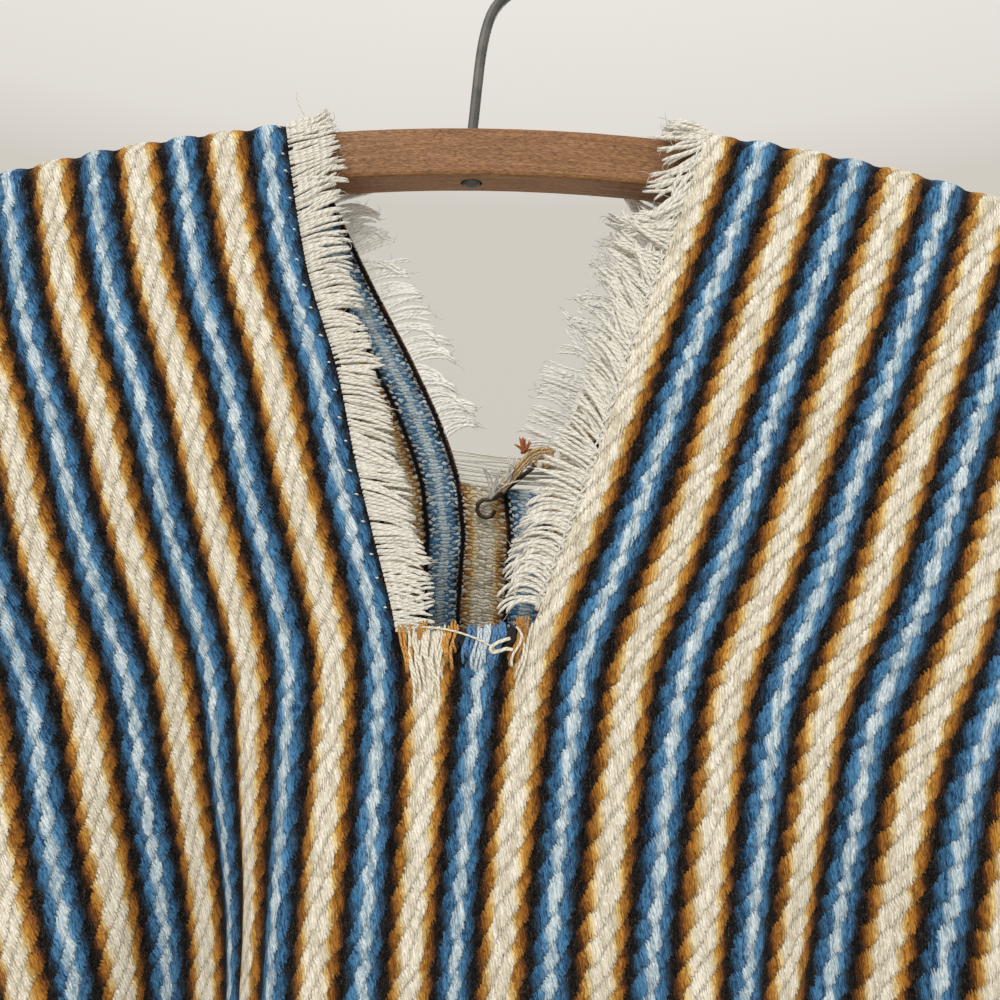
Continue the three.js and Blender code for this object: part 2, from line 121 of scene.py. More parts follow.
def set_stops(ramp, stops):
    """Gives a colour ramp its stops, from low to high."""
    while len(ramp.elements) < len(stops):
        ramp.elements.new(0.5)
    for element, (position, colour) in zip(ramp.elements, stops):
        element.position = position
        element.color = shade(*colour)


set_stops(fade.color_ramp, SKY)
print("background tones:", len(SKY))


# %% Lamps
def add_lamp(name, place, aim, size, watts, colour=(1.0, 1.0, 1.0)):
    lamp_data = bpy.data.lights.new(name, "AREA")
    lamp_data.size = size
    lamp_data.energy = watts
    lamp_data.color = colour
    lamp = add_object(name, lamp_data)
    lamp.location = place
    towards = np.subtract(aim, place)
    flat = math.hypot(towards[0], towards[1])
    lamp.rotation_euler = (math.atan2(flat, -towards[2]), 0, math.atan2(-towards[0], towards[1]))


add_lamp("window", (-0.35, -1.35, 0.85), (0, 0, -0.3), 0.9, 17, (1.0, 0.99, 0.97))
add_lamp("fill", (1.1, -0.9, -0.1), (0, 0, -0.35), 1.2, 3)
add_lamp("back window", (0.6, 1.6, 0.7), (0, 0, -0.4), 1.2, 14)

# %% [markdown]
# ## The cut and the hang
# The cloth is one length, 760 mm wide and 1500 mm long, with a slot 37.4 mm wide cut along the warp.
# Simulating so thick a cloth would not give the same folds as the packed solids, so the cloth is laid
# over them by the same rules instead: a distance across the cloth and a distance down it give one
# point in the room. The tables hold where the slot's edges run and where the large folds lie.

# %% Sizes of the hanger and the cloth, in millimetres
BOW_RADIUS, SEAT_HEIGHT, BAR_HOLD = 680, 94, 206
SLOT_WIDTH, SIDE_WIDTH, DROP, HEM_DEPTH = 37.4, 361.3, 750, 12
SLOT_LENGTH = {"front": 197, "back": 151}  # behind, the warp is gone for another 17 mm
ARCH_HALF_WIDTH, ARCH_HEIGHT, ARCH_TOP, ARCH_RUN, ARCH_POWER = 11.4, 11, 4.2, 19.1, 3.2
STAND_OFF, STAND_OFF_RUN = {"front": 24, "back": 14}, 260
DROOP_SLOPE, DROOP_RUN, LEAN_HELD, LEAN_AT_SIDE, STEEPEST, LEAST_FALL = 0.85, 70, 130, 0.5, 0.93, 0.3
FACING = {"front": -1, "back": 1}  # the way along Y that each panel looks
print("cloth:", 2 * SIDE_WIDTH + SLOT_WIDTH, "by", 2 * DROP, "mm")

# %% Where the slot's edges run: x at each distance down the cloth
EDGE_DOWN = [0, 62, 102, 134, 162, 194, 216, 302, 422, 750]
EDGE_X = {
    ("front", "left"): [-69.4, -58.4, -46.4, -39.4, -32.4, -24.4, -22.4, -25.4, -31.4, -32.4],
    ("front", "right"): [86, 66, 53, 43, 34, 22.4, 17, 9, 6, 5],
    ("back", "left"): [-69.4, -42.7, -24, -10.9, -3.8, -4.8, -5.8, -7.8, -7.8, -7.8],
    ("back", "right"): [86, 61, 45, 33, 34, 34, 33, 32, 32, 32],
}
print("slot edges, each at", len(EDGE_DOWN), "heights:", len(EDGE_X))

# %% The large folds: at, width, depth (inwards), from, full and drift
FOLDS = {
    ("front", "left"): [
        (90, 38, 30, 75, 350, 14), (25, 33, -10, 187, 300, 0), (132, 29, -8, 173, 480, 6),
        (186, 25, 15, 120, 520, -4), (236, 27, -14, 40, 420, 3), (284, 24, 18, 60, 360, 5),
        (334, 24, -13, 30, 480, -3),
    ],
    ("front", "right"): [
        (34, 40, -3, 217, 570, 4), (124, 30, 16, 150, 364, -4), (172, 28, -14, 90, 470, 5),
        (226, 24, 19, 50, 400, -3), (274, 26, -13, 40, 520, 6), (328, 25, 14, 70, 380, -4),
    ],
    ("back", "left"): [
        (62, 36, -8, 180, 560, 6), (124, 28, 12, 150, 470, -5), (178, 27, -13, 90, 430, 4),
        (232, 25, 11, 50, 520, 3), (286, 26, -17, 60, 400, -4), (338, 22, 10, 40, 450, 2),
    ],
    ("back", "right"): [
        (44, 34, -9, 150, 520, -4), (104, 29, 11, 140, 430, 6), (166, 30, -15, 80, 500, -3),
        (222, 25, 12, 60, 400, 5), (270, 24, -14, 40, 460, 3), (326, 26, 11, 60, 540, -4),
    ],
}
print("folds:", sum(len(rows) for rows in FOLDS.values()))


# %% A soft step from 0 to 1
def ease(start, end, value):
    """0 up to start, 1 from end, and a soft rise between them."""
    t = np.clip((np.asarray(value, float) - start) / (end - start), 0, 1)
    return t * t * (3 - 2 * t)


print("a soft step, sampled:", ease(0, 1, np.linspace(0, 1, 5)).round(2).tolist())


# %% The edges of the slot
def slot_edge(panel, side, down):
    """x of an edge of the slot, on a smooth curve through its table."""
    knots, values = np.array(EDGE_DOWN, float), np.array(EDGE_X[panel, side], float)
    count = np.arange(len(knots))
    before, after = np.maximum(count - 1, 0), np.minimum(count + 1, len(knots) - 1)
    slopes = (values[after] - values[before]) / (knots[after] - knots[before])
    row = np.clip(np.searchsorted(knots, down, side="right") - 1, 0, len(knots) - 2)
    span, rise = knots[row + 1] - knots[row], values[row + 1] - values[row]
    t = np.clip((down - knots[row]) / span, 0, 1)
    bend = (slopes[row] + slopes[row + 1]) * span - 2 * rise
    start = slopes[row] * span
    return values[row] + t * (start + t * (rise - start - bend + t * bend))


edges = [float(slot_edge("front", side, 100)) for side in ("left", "right")]
print("slot edges 100 mm down, x:", np.round(edges, 1).tolist())


# %% The line of the shoulders
def bow_height(x):
    held = np.minimum(np.abs(x), BAR_HOLD)
    return np.sqrt(BOW_RADIUS**2 - held**2) - BOW_RADIUS


def fold_slope(side, out):
    """Sine of the shoulder line's slope: the bow's own on the bar, and steeper past its end."""
    edge = abs(EDGE_X["front", side][0])
    end_out, at_end = BAR_HOLD - edge, BAR_HOLD / BOW_RADIUS
    past = at_end + (DROOP_SLOPE - at_end) * ease(0, DROOP_RUN, out - end_out)
    return np.where(out <= end_out, (edge + out) / BOW_RADIUS, past)


def shoulder_height(side, out):
    """Height of the shoulder line, counted from the middle of the bar."""
    steps = np.linspace(0, SIDE_WIDTH, 361)
    middles = (steps[1:] + steps[:-1]) / 2
    fallen = np.append(0, np.cumsum(fold_slope(side, middles) * np.diff(steps)))
    return bow_height(EDGE_X["front", side][0]) - np.interp(out, steps, fallen)


print("shoulder heights in mm:", shoulder_height("left", np.array([0, 180, 360])).round(1).tolist())


# %% The folds that fall from the shoulders
def folds_at(panel, side, out, down):
    """Depth of the folds at a place and their slope across the cloth, both positive inwards."""
    depth = np.zeros(np.broadcast(out, down).shape)
    slope = depth.copy()
    for at, width, deep, start, full, drift in FOLDS[panel, side]:
        off = (out - at - drift * ease(start, DROP, down)) / width
        part = deep * ease(start, full, down) * np.exp(-off * off)
        depth += part
        slope -= 2 * part * off / width
    return depth, slope


outs = np.linspace(0, SIDE_WIDTH, 181)
print("deepest fold at the hem in mm:", folds_at("front", "left", outs, DROP)[0].max().round(1))


# %% How far each side reaches
def side_x(panel, side, outs, downs):
    """x of places on one side: the edge's lean, and how far the folded cloth still reaches."""
    steps = np.linspace(0, SIDE_WIDTH, 241)
    middles = (steps[1:] + steps[:-1]) / 2
    slope = folds_at(panel, side, middles[:, None], downs[None, :])[1]
    taken = np.minimum(np.hypot(slope, fold_slope(side, middles)[:, None]), STEEPEST)
    pieces = np.sqrt(1 - taken**2) * np.diff(steps)[:, None]
    reach = np.vstack([np.zeros(len(downs)), np.cumsum(pieces, axis=0)])
    reached = np.array([np.interp(outs, steps, reach[:, j]) for j in range(len(downs))]).T
    top = EDGE_X[panel, side][0]
    lean = slot_edge(panel, side, downs)[None, :] - top
    share = 1 - (1 - LEAN_AT_SIDE) * ease(LEAN_HELD, SIDE_WIDTH, outs)[:, None]
    return top + lean * share + (-1 if side == "left" else 1) * reached


corner = side_x("front", "left", [SIDE_WIDTH], np.array([DROP]))[0, 0]
print("outer corner of the left hem, x:", corner.round(1))


# %% One side of a panel, hung in the room
def hang_side(panel, side, outs, downs):
    """Points of one side of a panel as (columns, rows, xyz), in millimetres."""
    fine = np.unique(np.concatenate([downs, np.arange(0, DROP + 1, 3.0), [ARCH_RUN]]))
    x = side_x(panel, side, outs, fine)
    turn = np.minimum(fine / ARCH_RUN, 1) * math.pi / 2
    over_bar = ARCH_HALF_WIDTH * np.sin(turn) ** (2 / ARCH_POWER)
    off = STAND_OFF[panel] * (1 - np.exp(-np.maximum(fine - ARCH_RUN, 0) / STAND_OFF_RUN))
    depth = folds_at(panel, side, outs[:, None], fine[None, :])[0]
    y = FACING[panel] * ((over_bar + off)[None, :] - depth)
    top = -SEAT_HEIGHT + ARCH_TOP + shoulder_height(side, outs) - bow_height(x[:, 0])
    run = np.diff(fine)
    sideways = np.hypot(np.diff(x), np.diff(y))
    falls = np.sqrt(np.maximum(run**2 - sideways**2, (run * LEAST_FALL) ** 2))
    start = int(np.searchsorted(fine, ARCH_RUN))
    falls[:, :start] = 0
    fallen = np.hstack([np.zeros((len(outs), 1)), np.cumsum(falls, axis=1)])
    fallen = fallen + (ARCH_HEIGHT - bow_height(x[:, start]))[:, None]
    arch = bow_height(x) - ARCH_HEIGHT * (1 - np.cos(turn) ** (2 / ARCH_POWER))
    z = top[:, None] + np.where(fine < ARCH_RUN, arch, -fallen)
    picked = np.searchsorted(fine, downs)
    return np.stack([x, y, z], axis=-1)[:, picked]


fold_top = hang_side("front", "left", np.zeros(1), np.zeros(1))[0, 0]
print("shoulder fold at the slot in mm:", fold_top.round(1).tolist())


# %% Any place on a panel
def hang(panel, across, downs):
    """Points of a panel. across is counted from the slot's left edge, downs from the shoulder fold."""
    across, downs = np.asarray(across, float), np.asarray(downs, float)
    points = np.zeros((len(across), len(downs), 3))
    left, right = across <= 0, across >= SLOT_WIDTH
    points[left] = hang_side(panel, "left", -across[left], downs)
    points[right] = hang_side(panel, "right", across[right] - SLOT_WIDTH, downs)
    strip = ~(left | right)
    edges = [hang_side(panel, side, np.zeros(1), downs)[0] for side in ("left", "right")]
    share = (across[strip] / SLOT_WIDTH)[:, None, None]
    points[strip] = edges[0] * (1 - share) + edges[1] * share
    return points


hem_corners = hang("front", [-SIDE_WIDTH, SLOT_WIDTH + SIDE_WIDTH], [DROP])
print("hem corners in mm:", hem_corners[:, 0].round(1).tolist())

# %% [markdown]
# ## The stripes and their ribs
# The stripes run along the warp and repeat about every 33 mm. Each stripe stands up as a rounded
# rib, and the thin black lines lie in the valleys between the ribs. Both the shape and the colours
# follow one number that grows by 1 with each repeat, so they can't drift apart.

# %% The stripe number, and the height of the ribs
LEFT_EDGE, RIGHT_EDGE = 0.04, 1.187  # the stripe numbers of the slot's two edges
REPEAT_LEFT, REPEAT_STRIP, REPEAT_RIGHT = 31.5, SLOT_WIDTH / (RIGHT_EDGE - LEFT_EDGE), 34.5
VALLEY = 0.15
# middle, half width, height and squareness
CREAM_RIB, BLUE_RIB = (0.28, 0.235, 1.65, 3.2), (0.78, 0.185, 1.75, 2.3)


def stripe_number(across):
    across = np.asarray(across, float)
    inside = LEFT_EDGE + np.clip(across, 0, SLOT_WIDTH) / REPEAT_STRIP
    past = np.maximum(across - SLOT_WIDTH, 0)
    return np.minimum(across, 0) / REPEAT_LEFT + inside + past / REPEAT_RIGHT


def across_of(number):
    number = np.asarray(number, float)
    inside = (np.clip(number, LEFT_EDGE, RIGHT_EDGE) - LEFT_EDGE) * REPEAT_STRIP
    past = np.maximum(number - RIGHT_EDGE, 0)
    return np.minimum(number - LEFT_EDGE, 0) * REPEAT_LEFT + inside + past * REPEAT_RIGHT


def rib_height(number):
    """Height of the outer face over the cloth's middle surface, in millimetres."""
    height = VALLEY
    for middle, half, top, squareness in (CREAM_RIB, BLUE_RIB):
        off = np.clip(np.abs(np.mod(number, 1) - middle) / half, 0, 1)
        height = height + top * (1 - off**squareness)
    return height


print("rib heights in mm:", rib_height(np.array([0, 0.28, 0.56, 0.78])).round(2).tolist())

# %% [markdown]
# ## A shell of cloth
# Each panel is a closed shell: a fine outer face that carries the ribs, a plain inner face with far
# fewer points, and a rim that joins the two. The rim's faces have as many corners as they need, so
# the fine and the coarse face meet with no gap. The hem is turned to the inside.

# %% Rows and columns of the cloth
RIB_STOPS = [0, 0.035, 0.07, 0.1, 0.15, 0.21, 0.28, 0.35, 0.41, 0.455, 0.49]
RIB_STOPS += [0.525, 0.559, 0.595, 0.63, 0.67, 0.72, 0.78, 0.84, 0.89, 0.93, 0.965]
ARCH_ROWS = [0, 0.6, 1.8, 3.6, 6, 8, 9.5, 11, 13, 16, ARCH_RUN]
HEM_ROWS = [DROP - HEM_DEPTH + 1.5, DROP - 7, DROP - 3, DROP - 0.8, DROP]
UPPER_ROW, LOWER_ROW, LEAST_GAP = 3.6, 5.1, 0.012
INNER_COLUMN_STEP, INNER_ROW_STEP = 5, 4
CUT_LINES = [-SIDE_WIDTH, 0, SLOT_WIDTH, SLOT_WIDTH + SIDE_WIDTH]


def cloth_columns():
    """Distances across the cloth, and which of them the inner face uses too."""
    first, last = stripe_number([CUT_LINES[0], CUT_LINES[-1]])
    whole = range(math.floor(first), math.ceil(last))
    numbers = np.array([base + stop for base in whole for stop in RIB_STOPS])
    near = np.array([first, last, LEFT_EDGE, RIGHT_EDGE])
    clear = np.abs(numbers[:, None] - near).min(axis=1) > LEAST_GAP
    inside = (numbers > first) & (numbers < last)
    across = np.sort(np.append(across_of(numbers[clear & inside]), CUT_LINES))
    fixed = [int(np.argmin(np.abs(across - x))) for x in CUT_LINES]
    coarse = set(fixed)
    for start, end in zip(fixed, fixed[1:]):
        coarse.update(range(start, end, INNER_COLUMN_STEP))
    return across, sorted(coarse)


def cloth_rows(slot_length):
    """Distances down a panel, and which of them its inner face uses too."""
    hem = DROP - HEM_DEPTH
    upper = np.linspace(ARCH_RUN, slot_length, round((slot_length - ARCH_RUN) / UPPER_ROW) + 1)[1:]
    lower = np.linspace(slot_length, hem, round((hem - slot_length) / LOWER_ROW) + 1)[1:]
    downs = np.concatenate([ARCH_ROWS, upper, lower, HEM_ROWS])
    slot_row = len(ARCH_ROWS) + len(upper) - 1
    hem_row = slot_row + len(lower)
    coarse = {*range(0, slot_row, INNER_ROW_STEP), *range(slot_row, hem_row, INNER_ROW_STEP)}
    return downs, sorted(coarse | {*range(hem_row, len(downs))})


across_lines, coarse_columns = cloth_columns()
print("columns:", len(across_lines), "of which the inner face uses", len(coarse_columns))


# %% The outer and the inner surface
def unevenness(across, down, seed, size):
    """A gentle seeded waviness from -1 to 1, with hills about size millimetres wide."""
    dice = np.random.default_rng(seed)
    total = np.zeros(np.broadcast(across, down).shape)
    for _ in range(7):
        angle, phase = dice.uniform(0, 2 * math.pi, 2)
        wave = 2 * math.pi / (size * dice.uniform(0.8, 2.2))
        total += np.sin(wave * (across * math.cos(angle) + down * math.sin(angle)) + phase)
    return total / 4


def unit(vectors):
    """Vectors of length 1 that point the same way."""
    return vectors / np.linalg.norm(vectors, axis=-1, keepdims=True)


def normals_of(points):
    """Unit normals of a panel's grid towards the front. The shoulder row runs level along Y."""
    wide, tall = np.gradient(points, axis=0), np.gradient(points, axis=1)
    level = np.zeros(len(points))
    tall[:, 0] = np.stack([level, np.sign(tall[:, 0, 1]), level], axis=-1)
    return unit(np.cross(tall, wide))


INNER_DEPTH, DEPTH_IN_HEM, DEPTH_AT_END = 1.3, 3.4, 2.6


def cloth_surfaces(panel, downs, rows):
    """Points of the ribbed outer surface and of the plain inner one, in millimetres."""
    grid = hang(panel, across_lines, downs)
    out = normals_of(grid) * -FACING[panel]
    wide, tall = across_lines[:, None], downs[None, :]
    number = stripe_number(across_lines)[:, None] + 0.012 * unevenness(wide, tall, 11, 60)
    height = rib_height(number) + 0.12 * unevenness(wide, tall, 5, 14)
    height += 0.45 * unevenness(wide, tall, 8, 48)
    # The ribs are lower at the sides, over the bar and at the fold of the hem.
    ends = np.minimum(across_lines - across_lines[0], across_lines[-1] - across_lines)
    height = height * (0.4 + 0.6 * ease(0, 2.5, ends))[:, None] * (0.55 + 0.45 * ease(3, 24, downs))
    height[:, -2:] *= [0.8, 0.25]
    depth = np.where(downs[rows] > DROP - HEM_DEPTH + 0.5, DEPTH_IN_HEM, INNER_DEPTH)
    depth[-1] = DEPTH_AT_END
    picked = np.ix_(coarse_columns, rows)
    return grid + out * height[..., None], grid[picked] - out[picked] * depth[None, :, None]


print("unevenness, for example:", unevenness(np.arange(3.0), 0.0, 5, 14).round(2).tolist())


# %% The faces of the shell
def shell_faces(slot_length, downs, rows):
    """Each face's corners, and 1 for a face on the inside. The outer surface's points come first."""
    tall, inner_tall = len(downs), len(rows)
    first_inner = len(across_lines) * tall

    def in_slot(left, right, bottom):
        between = across_lines[left] >= 0 and across_lines[right] <= SLOT_WIDTH
        return between and downs[bottom] <= slot_length

    faces = []
    for i in range(len(across_lines) - 1):
        for j in range(tall - 1):
            if not in_slot(i, i + 1, j + 1):
                a, b = i * tall + j, (i + 1) * tall + j
                faces.append([a, a + 1, b + 1, b])
    inside = [0] * len(faces)
    columns = range(len(coarse_columns) - 1)
    cells = {(m, n) for m in columns for n in range(inner_tall - 1)}
    coarse = coarse_columns
    cells -= {(m, n) for m, n in cells if in_slot(coarse[m], coarse[m + 1], rows[n + 1])}
    for m, n in sorted(cells):
        corners = [(m, n), (m, n + 1), (m + 1, n + 1), (m + 1, n)]
        faces.append([first_inner + p * inner_tall + q for p, q in reversed(corners)])
        inside.append(1)
        for k, neighbour in enumerate([(m - 1, n), (m, n + 1), (m + 1, n), (m, n - 1)]):
            if neighbour in cells:
                continue
            # An edge with no neighbour is closed by one face of the rim.
            (p, q), (r, s) = corners[k], corners[(k + 1) % 4]
            wide, high = sorted((coarse_columns[p], coarse_columns[r])), sorted((rows[q], rows[s]))
            spans = [range(first, last + 1) for first, last in (wide, high)]
            line = [i * tall + j for i in spans[0] for j in spans[1]]
            if line[0] != coarse_columns[r] * tall + rows[s]:
                line.reverse()
            faces.append(line + [first_inner + p * inner_tall + q, first_inner + r * inner_tall + s])
            inside.append(0)
    return faces, inside


# %% The shell itself
def cloth_shell(name, panel):
    downs, rows = cloth_rows(SLOT_LENGTH[panel])
    outer, inner = cloth_surfaces(panel, downs, rows)
    faces, inside = shell_faces(SLOT_LENGTH[panel], downs, rows)
    if panel == "back":
        faces = [face[::-1] for face in faces]
    points = np.vstack([outer.reshape(-1, 3), inner.reshape(-1, 3)]) * MM
    place = np.broadcast_arrays(stripe_number(across_lines)[:, None], downs[None, :] * MM)
    place = np.stack(place, axis=-1)
    places = np.vstack([place.reshape(-1, 2), place[np.ix_(coarse_columns, rows)].reshape(-1, 2)])
    used = np.unique(np.concatenate(faces))
    renumber = np.full(len(points), -1)
    renumber[used] = np.arange(len(used))
    mesh = bpy.data.meshes.new(name)
    mesh.from_pydata(points[used].tolist(), [], [renumber[face].tolist() for face in faces])
    mesh.polygons.foreach_set("material_index", inside)
    corner_points = np.zeros(len(mesh.loops), int)
    mesh.loops.foreach_get("vertex_index", corner_points)
    weave_map = mesh.uv_layers.new(name="weave")
    weave_map.data.foreach_set("uv", places[used][corner_points].ravel())
    mesh.validate()
    piece = add_object(name, mesh)
    bpy.ops.object.select_all(action="DESELECT")
    piece.select_set(True)
    bpy.context.view_layer.objects.active = piece
    bpy.ops.object.shade_smooth_by_angle(angle=math.radians(70))
    print(name, "has", sum(len(p.vertices) - 2 for p in mesh.polygons), "triangles")
    return piece


front_cloth = cloth_shell("front_cloth", "front")
back_cloth = cloth_shell("back_cloth", "back")

# %% [markdown]
# ## A small recipe book for finishes
# Every finish is made of nodes. A number that comes out of a node is wrapped, so that it can be added
# and multiplied like any other, and each sum adds its own node. A recipe then reads from top to
# bottom: where a point is, which band of colour it falls in, how its threads lie, and how high it is.


# %% Numbers and colours that come out of nodes
from functools import partialmethod


def add_node(tree, kind, *values, **settings):
    """A new node with its settings. The values go to its first sockets, as numbers or as links."""
    made = tree.nodes.new(kind)
    for key, value in settings.items():
        setattr(made, key, value)
    for socket, value in zip(made.inputs, values):
        feed(socket, value)
    return made


def feed(socket, value):
    """Links or sets a socket. Three numbers together are a colour as a screen shows it."""
    if isinstance(value, Flow):
        value.tree.links.new(value.socket, socket)
    else:
        socket.default_value = shade(*value) if isinstance(value, tuple) else value


class Flow:
    """What comes out of a node, a number or a colour."""

    def __init__(self, socket):
        self.socket, self.tree = socket, socket.id_data

    def of(self, operation, *others):
        node = add_node(self.tree, "ShaderNodeMath", self, *others, operation=operation)
        return Flow(node.outputs[0])

    __add__ = partialmethod(of, "ADD")
    __sub__ = partialmethod(of, "SUBTRACT")
    __mul__ = partialmethod(of, "MULTIPLY")
    __pow__ = partialmethod(of, "POWER")
    __abs__ = partialmethod(of, "ABSOLUTE")
    whole = partialmethod(of, "FLOOR")
    rest = partialmethod(of, "FRACT")  # what is left over the whole number below

    def rise(self, low, high, to_low=0.0, to_high=1.0):
        """A soft step from to_low to to_high."""
        kind, values = "ShaderNodeMapRange", (self, low, high, to_low, to_high)
        return Flow(add_node(self.tree, kind, *values, interpolation_type="SMOOTHSTEP").outputs[0])

    def bands(self, stops):
        """The colours of a ramp, looked up with this number."""
        made = add_node(self.tree, "ShaderNodeValToRGB", self)
        set_stops(made.color_ramp, stops)
        return Flow(made.outputs[0])

    def split(self):
        return [Flow(part) for part in add_node(self.tree, "ShaderNodeSeparateXYZ", self).outputs]


print("a node's number can do", [name for name in vars(Flow) if name[:2] != "__"])


# %% Noise, blending and the finish itself
def add_noise(x, y, z=0.0, detail=2, scale=1.0):
    joined = add_node(x.tree, "ShaderNodeCombineXYZ", x, y, z)
    made = add_node(x.tree, "ShaderNodeTexNoise", Flow(joined.outputs[0]))
    for key, value in (("Scale", scale), ("Detail", detail), ("Roughness", 0.55)):
        made.inputs[key].default_value = value
    return made


def noise(*place, **settings):
    return Flow(add_noise(*place, **settings).outputs[0])


def scatter(x, y):
    """Two small unrelated pushes, each about -0.25 to 0.25."""
    made = add_noise(x, y)
    made.inputs["Roughness"].default_value = 0.5
    return [part - 0.5 for part in Flow(made.outputs["Color"]).split()[:2]]


def blend(amount, first, second, kind="MIX"):
    tree = next(value.tree for value in (amount, first) if isinstance(value, Flow))
    made = add_node(tree, "ShaderNodeMix", amount, data_type="RGBA", blend_type=kind)
    feed(made.inputs[6], first)
    feed(made.inputs[7], second)
    return Flow(made.outputs[2])


def new_finish(name, **settings):
    """A new material. The settings name its shader's own sockets."""
    material = bpy.data.materials.new(name)
    material.use_nodes = True
    shader = material.node_tree.nodes["Principled BSDF"]
    for key, value in settings.items():
        shader.inputs[key.replace("_", " ")].default_value = value
    return material


def place_on(material, uv_map):
    """The two numbers of a piece's own map."""
    return Flow(add_node(material.node_tree, "ShaderNodeUVMap", uv_map=uv_map).outputs[0]).split()[:2]


def place_in_room(material):
    """Where a point of the piece is, in millimetres."""
    place = Flow(add_node(material.node_tree, "ShaderNodeTexCoord").outputs["Object"])
    return [part * 1000 for part in place.split()]


def paint(material, colour, height, relief, roughness=None):
    shader = material.node_tree.nodes["Principled BSDF"]
    feed(shader.inputs["Base Color"], colour)
    if roughness is not None:
        feed(shader.inputs["Roughness"], roughness)
    bump = add_node(material.node_tree, "ShaderNodeBump")
    bump.inputs["Strength"].default_value = 1.0
    bump.inputs["Distance"].default_value = relief
    feed(bump.inputs["Height"], height)
    feed(shader.inputs["Normal"], Flow(bump.outputs[0]))
    return material


print("recipe helpers ready")

# %% [markdown]
# ## The outer face of the cloth
# The weave is a thick steep twill. Its ridges lie like the strands of a rope, 5.5 mm apart, and climb
# to the right across every stripe. The warp yarns in a ridge lean the other way, so a stripe's edge
# steps back at each groove like the teeth of a saw. The colour is looked up with the stripe number,
# pushed to and fro inside each ridge, and the teeth come by themselves.

# %% Stripe colours, the darkest and the lightest fibre of each band
# The dark brown and dark blue stops either side of each black line are painted shade of the valleys
# between the ribs.
STRIPE_BANDS = [
    (0.000, (2, 2, 2), (14, 11, 11)), (0.022, (3, 2, 2), (24, 16, 13)),
    (0.046, (36, 16, 5), (98, 56, 22)), (0.080, (90, 48, 10), (176, 116, 42)),
    (0.118, (118, 72, 20), (206, 152, 68)), (0.146, (174, 142, 88), (236, 212, 152)),
    (0.184, (190, 180, 156), (246, 240, 226)), (0.366, (190, 180, 156), (246, 240, 226)),
    (0.394, (178, 148, 90), (238, 214, 152)), (0.422, (122, 76, 22), (208, 154, 70)),
    (0.468, (92, 50, 12), (180, 118, 44)), (0.508, (38, 17, 6), (100, 58, 24)),
    (0.532, (3, 2, 2), (26, 18, 15)), (0.580, (2, 2, 3), (16, 17, 20)),
    (0.602, (6, 17, 30), (36, 62, 84)), (0.640, (7, 36, 68), (66, 124, 170)),
    (0.702, (14, 56, 94), (96, 154, 198)), (0.730, (118, 148, 168), (214, 228, 236)),
    (0.808, (120, 150, 168), (220, 232, 238)), (0.834, (16, 58, 96), (98, 156, 200)),
    (0.900, (7, 36, 68), (68, 124, 170)), (0.940, (7, 19, 33), (38, 64, 86)),
    (0.970, (3, 3, 4), (18, 18, 21)), (1.000, (2, 2, 2), (14, 11, 11)),
]
REPEAT, RIDGE, RIDGE_RUN, LEAN, STEPS = 33.0, 5.5, 11.3, 0.36, 3
STRAND = LEAN * RIDGE / STEPS


def fibre_colours(band):
    """The darkest and the lightest fibre of each band of the stripes."""
    return [band.bands([(row[0], row[k]) for row in STRIPE_BANDS]) for k in (1, 2)]


print("colours in one repeat:", len(STRIPE_BANDS))


# %% Outer weave
def outer_weave():
    finish = new_finish("handwoven stripes", Roughness=0.95, Sheen_Weight=0.03, Specular_IOR_Level=0.12)
    number, down = place_on(finish, "weave")
    flat_across, flat_run = number * REPEAT, down * 1000
    # Wool is soft, so nothing lies quite where the loom put it.
    stray_x, stray_y = scatter(flat_across * 0.75, flat_run * 0.42)
    across, run = stray_x * 1.5 + flat_across, stray_y * 3.6 + flat_run
    # The weaver's beat is not quite even, so the ridges wander a little.
    wander = noise(flat_across * 0.06, flat_run * 0.04)
    ridge = across * (1 / RIDGE) + (run * (1 / RIDGE_RUN) + wander * 1.6)
    # Side by side in a ridge lie strands of warp. Each dives under at its own weft, so a groove has
    # steps in it, one to a strand.
    aside = (ridge * (-LEAN * RIDGE / STRAND) + across * (1 / STRAND)).rest() - 0.5
    stepped = aside * -0.2 + ridge
    inside, lane = stepped.rest() - 0.5, stepped.whole()
    shift = (ridge - lane) * (-LEAN * RIDGE / REPEAT) + 0.5 * LEAN * RIDGE / REPEAT
    toothed = across * (1 / REPEAT) + shift
    strand = toothed * (REPEAT / STRAND)
    middle = (strand.whole() + 0.5) * (STRAND / REPEAT)
    dark_fibres, light_fibres = fibre_colours((toothed * 0.5 + middle * 0.5).rest())
    # Each strand has its own tone, and long thin fibres run along it.
    own = noise(strand.whole(), lane, 9.0, detail=0, scale=0.63)
    fibre = noise(strand * 2.1, run * 0.42, detail=3)
    colour = blend((own * 0.4 + fibre).rise(0.48, 0.92), dark_fibres, light_fibres)
    groove, gap = abs(inside).rise(0.3, 0.5), abs(aside).rise(0.2, 0.5)
    patchy = noise(flat_across, flat_run * 0.5, 7.0, detail=1)
    # Painted shade: the grooves and the gaps between strands are darkened, more in some patches than in
    # others.
    groove_shade = groove * (gap * 0.55 + 0.35) * patchy.rise(0.3, 0.65, 0.4, 1.0)
    colour = blend(gap * 0.1 + groove_shade, colour, (84, 74, 64), "MULTIPLY")
    # Loose hairs lie over everything. They are the thin lines where a smooth noise crosses one level.
    for count, level in enumerate((0.46, 0.55)):
        field = noise(flat_across, flat_run * 0.45, 20.0 + count, detail=1, scale=0.8)
        hair = abs(field - level).rise(0.012, 0.002, 0.0, 0.32)
        colour = blend(hair, colour, blend(0.45, light_fibres, (176, 158, 136)))
    crown = abs(inside * 2) ** 2.6 * -1 + 1
    return paint(finish, colour, fibre * 0.5 + (gap * -0.25 + crown), 0.5 * MM)


cloth_outside = outer_weave()
print(cloth_outside.name, "uses", len(cloth_outside.node_tree.nodes), "nodes")

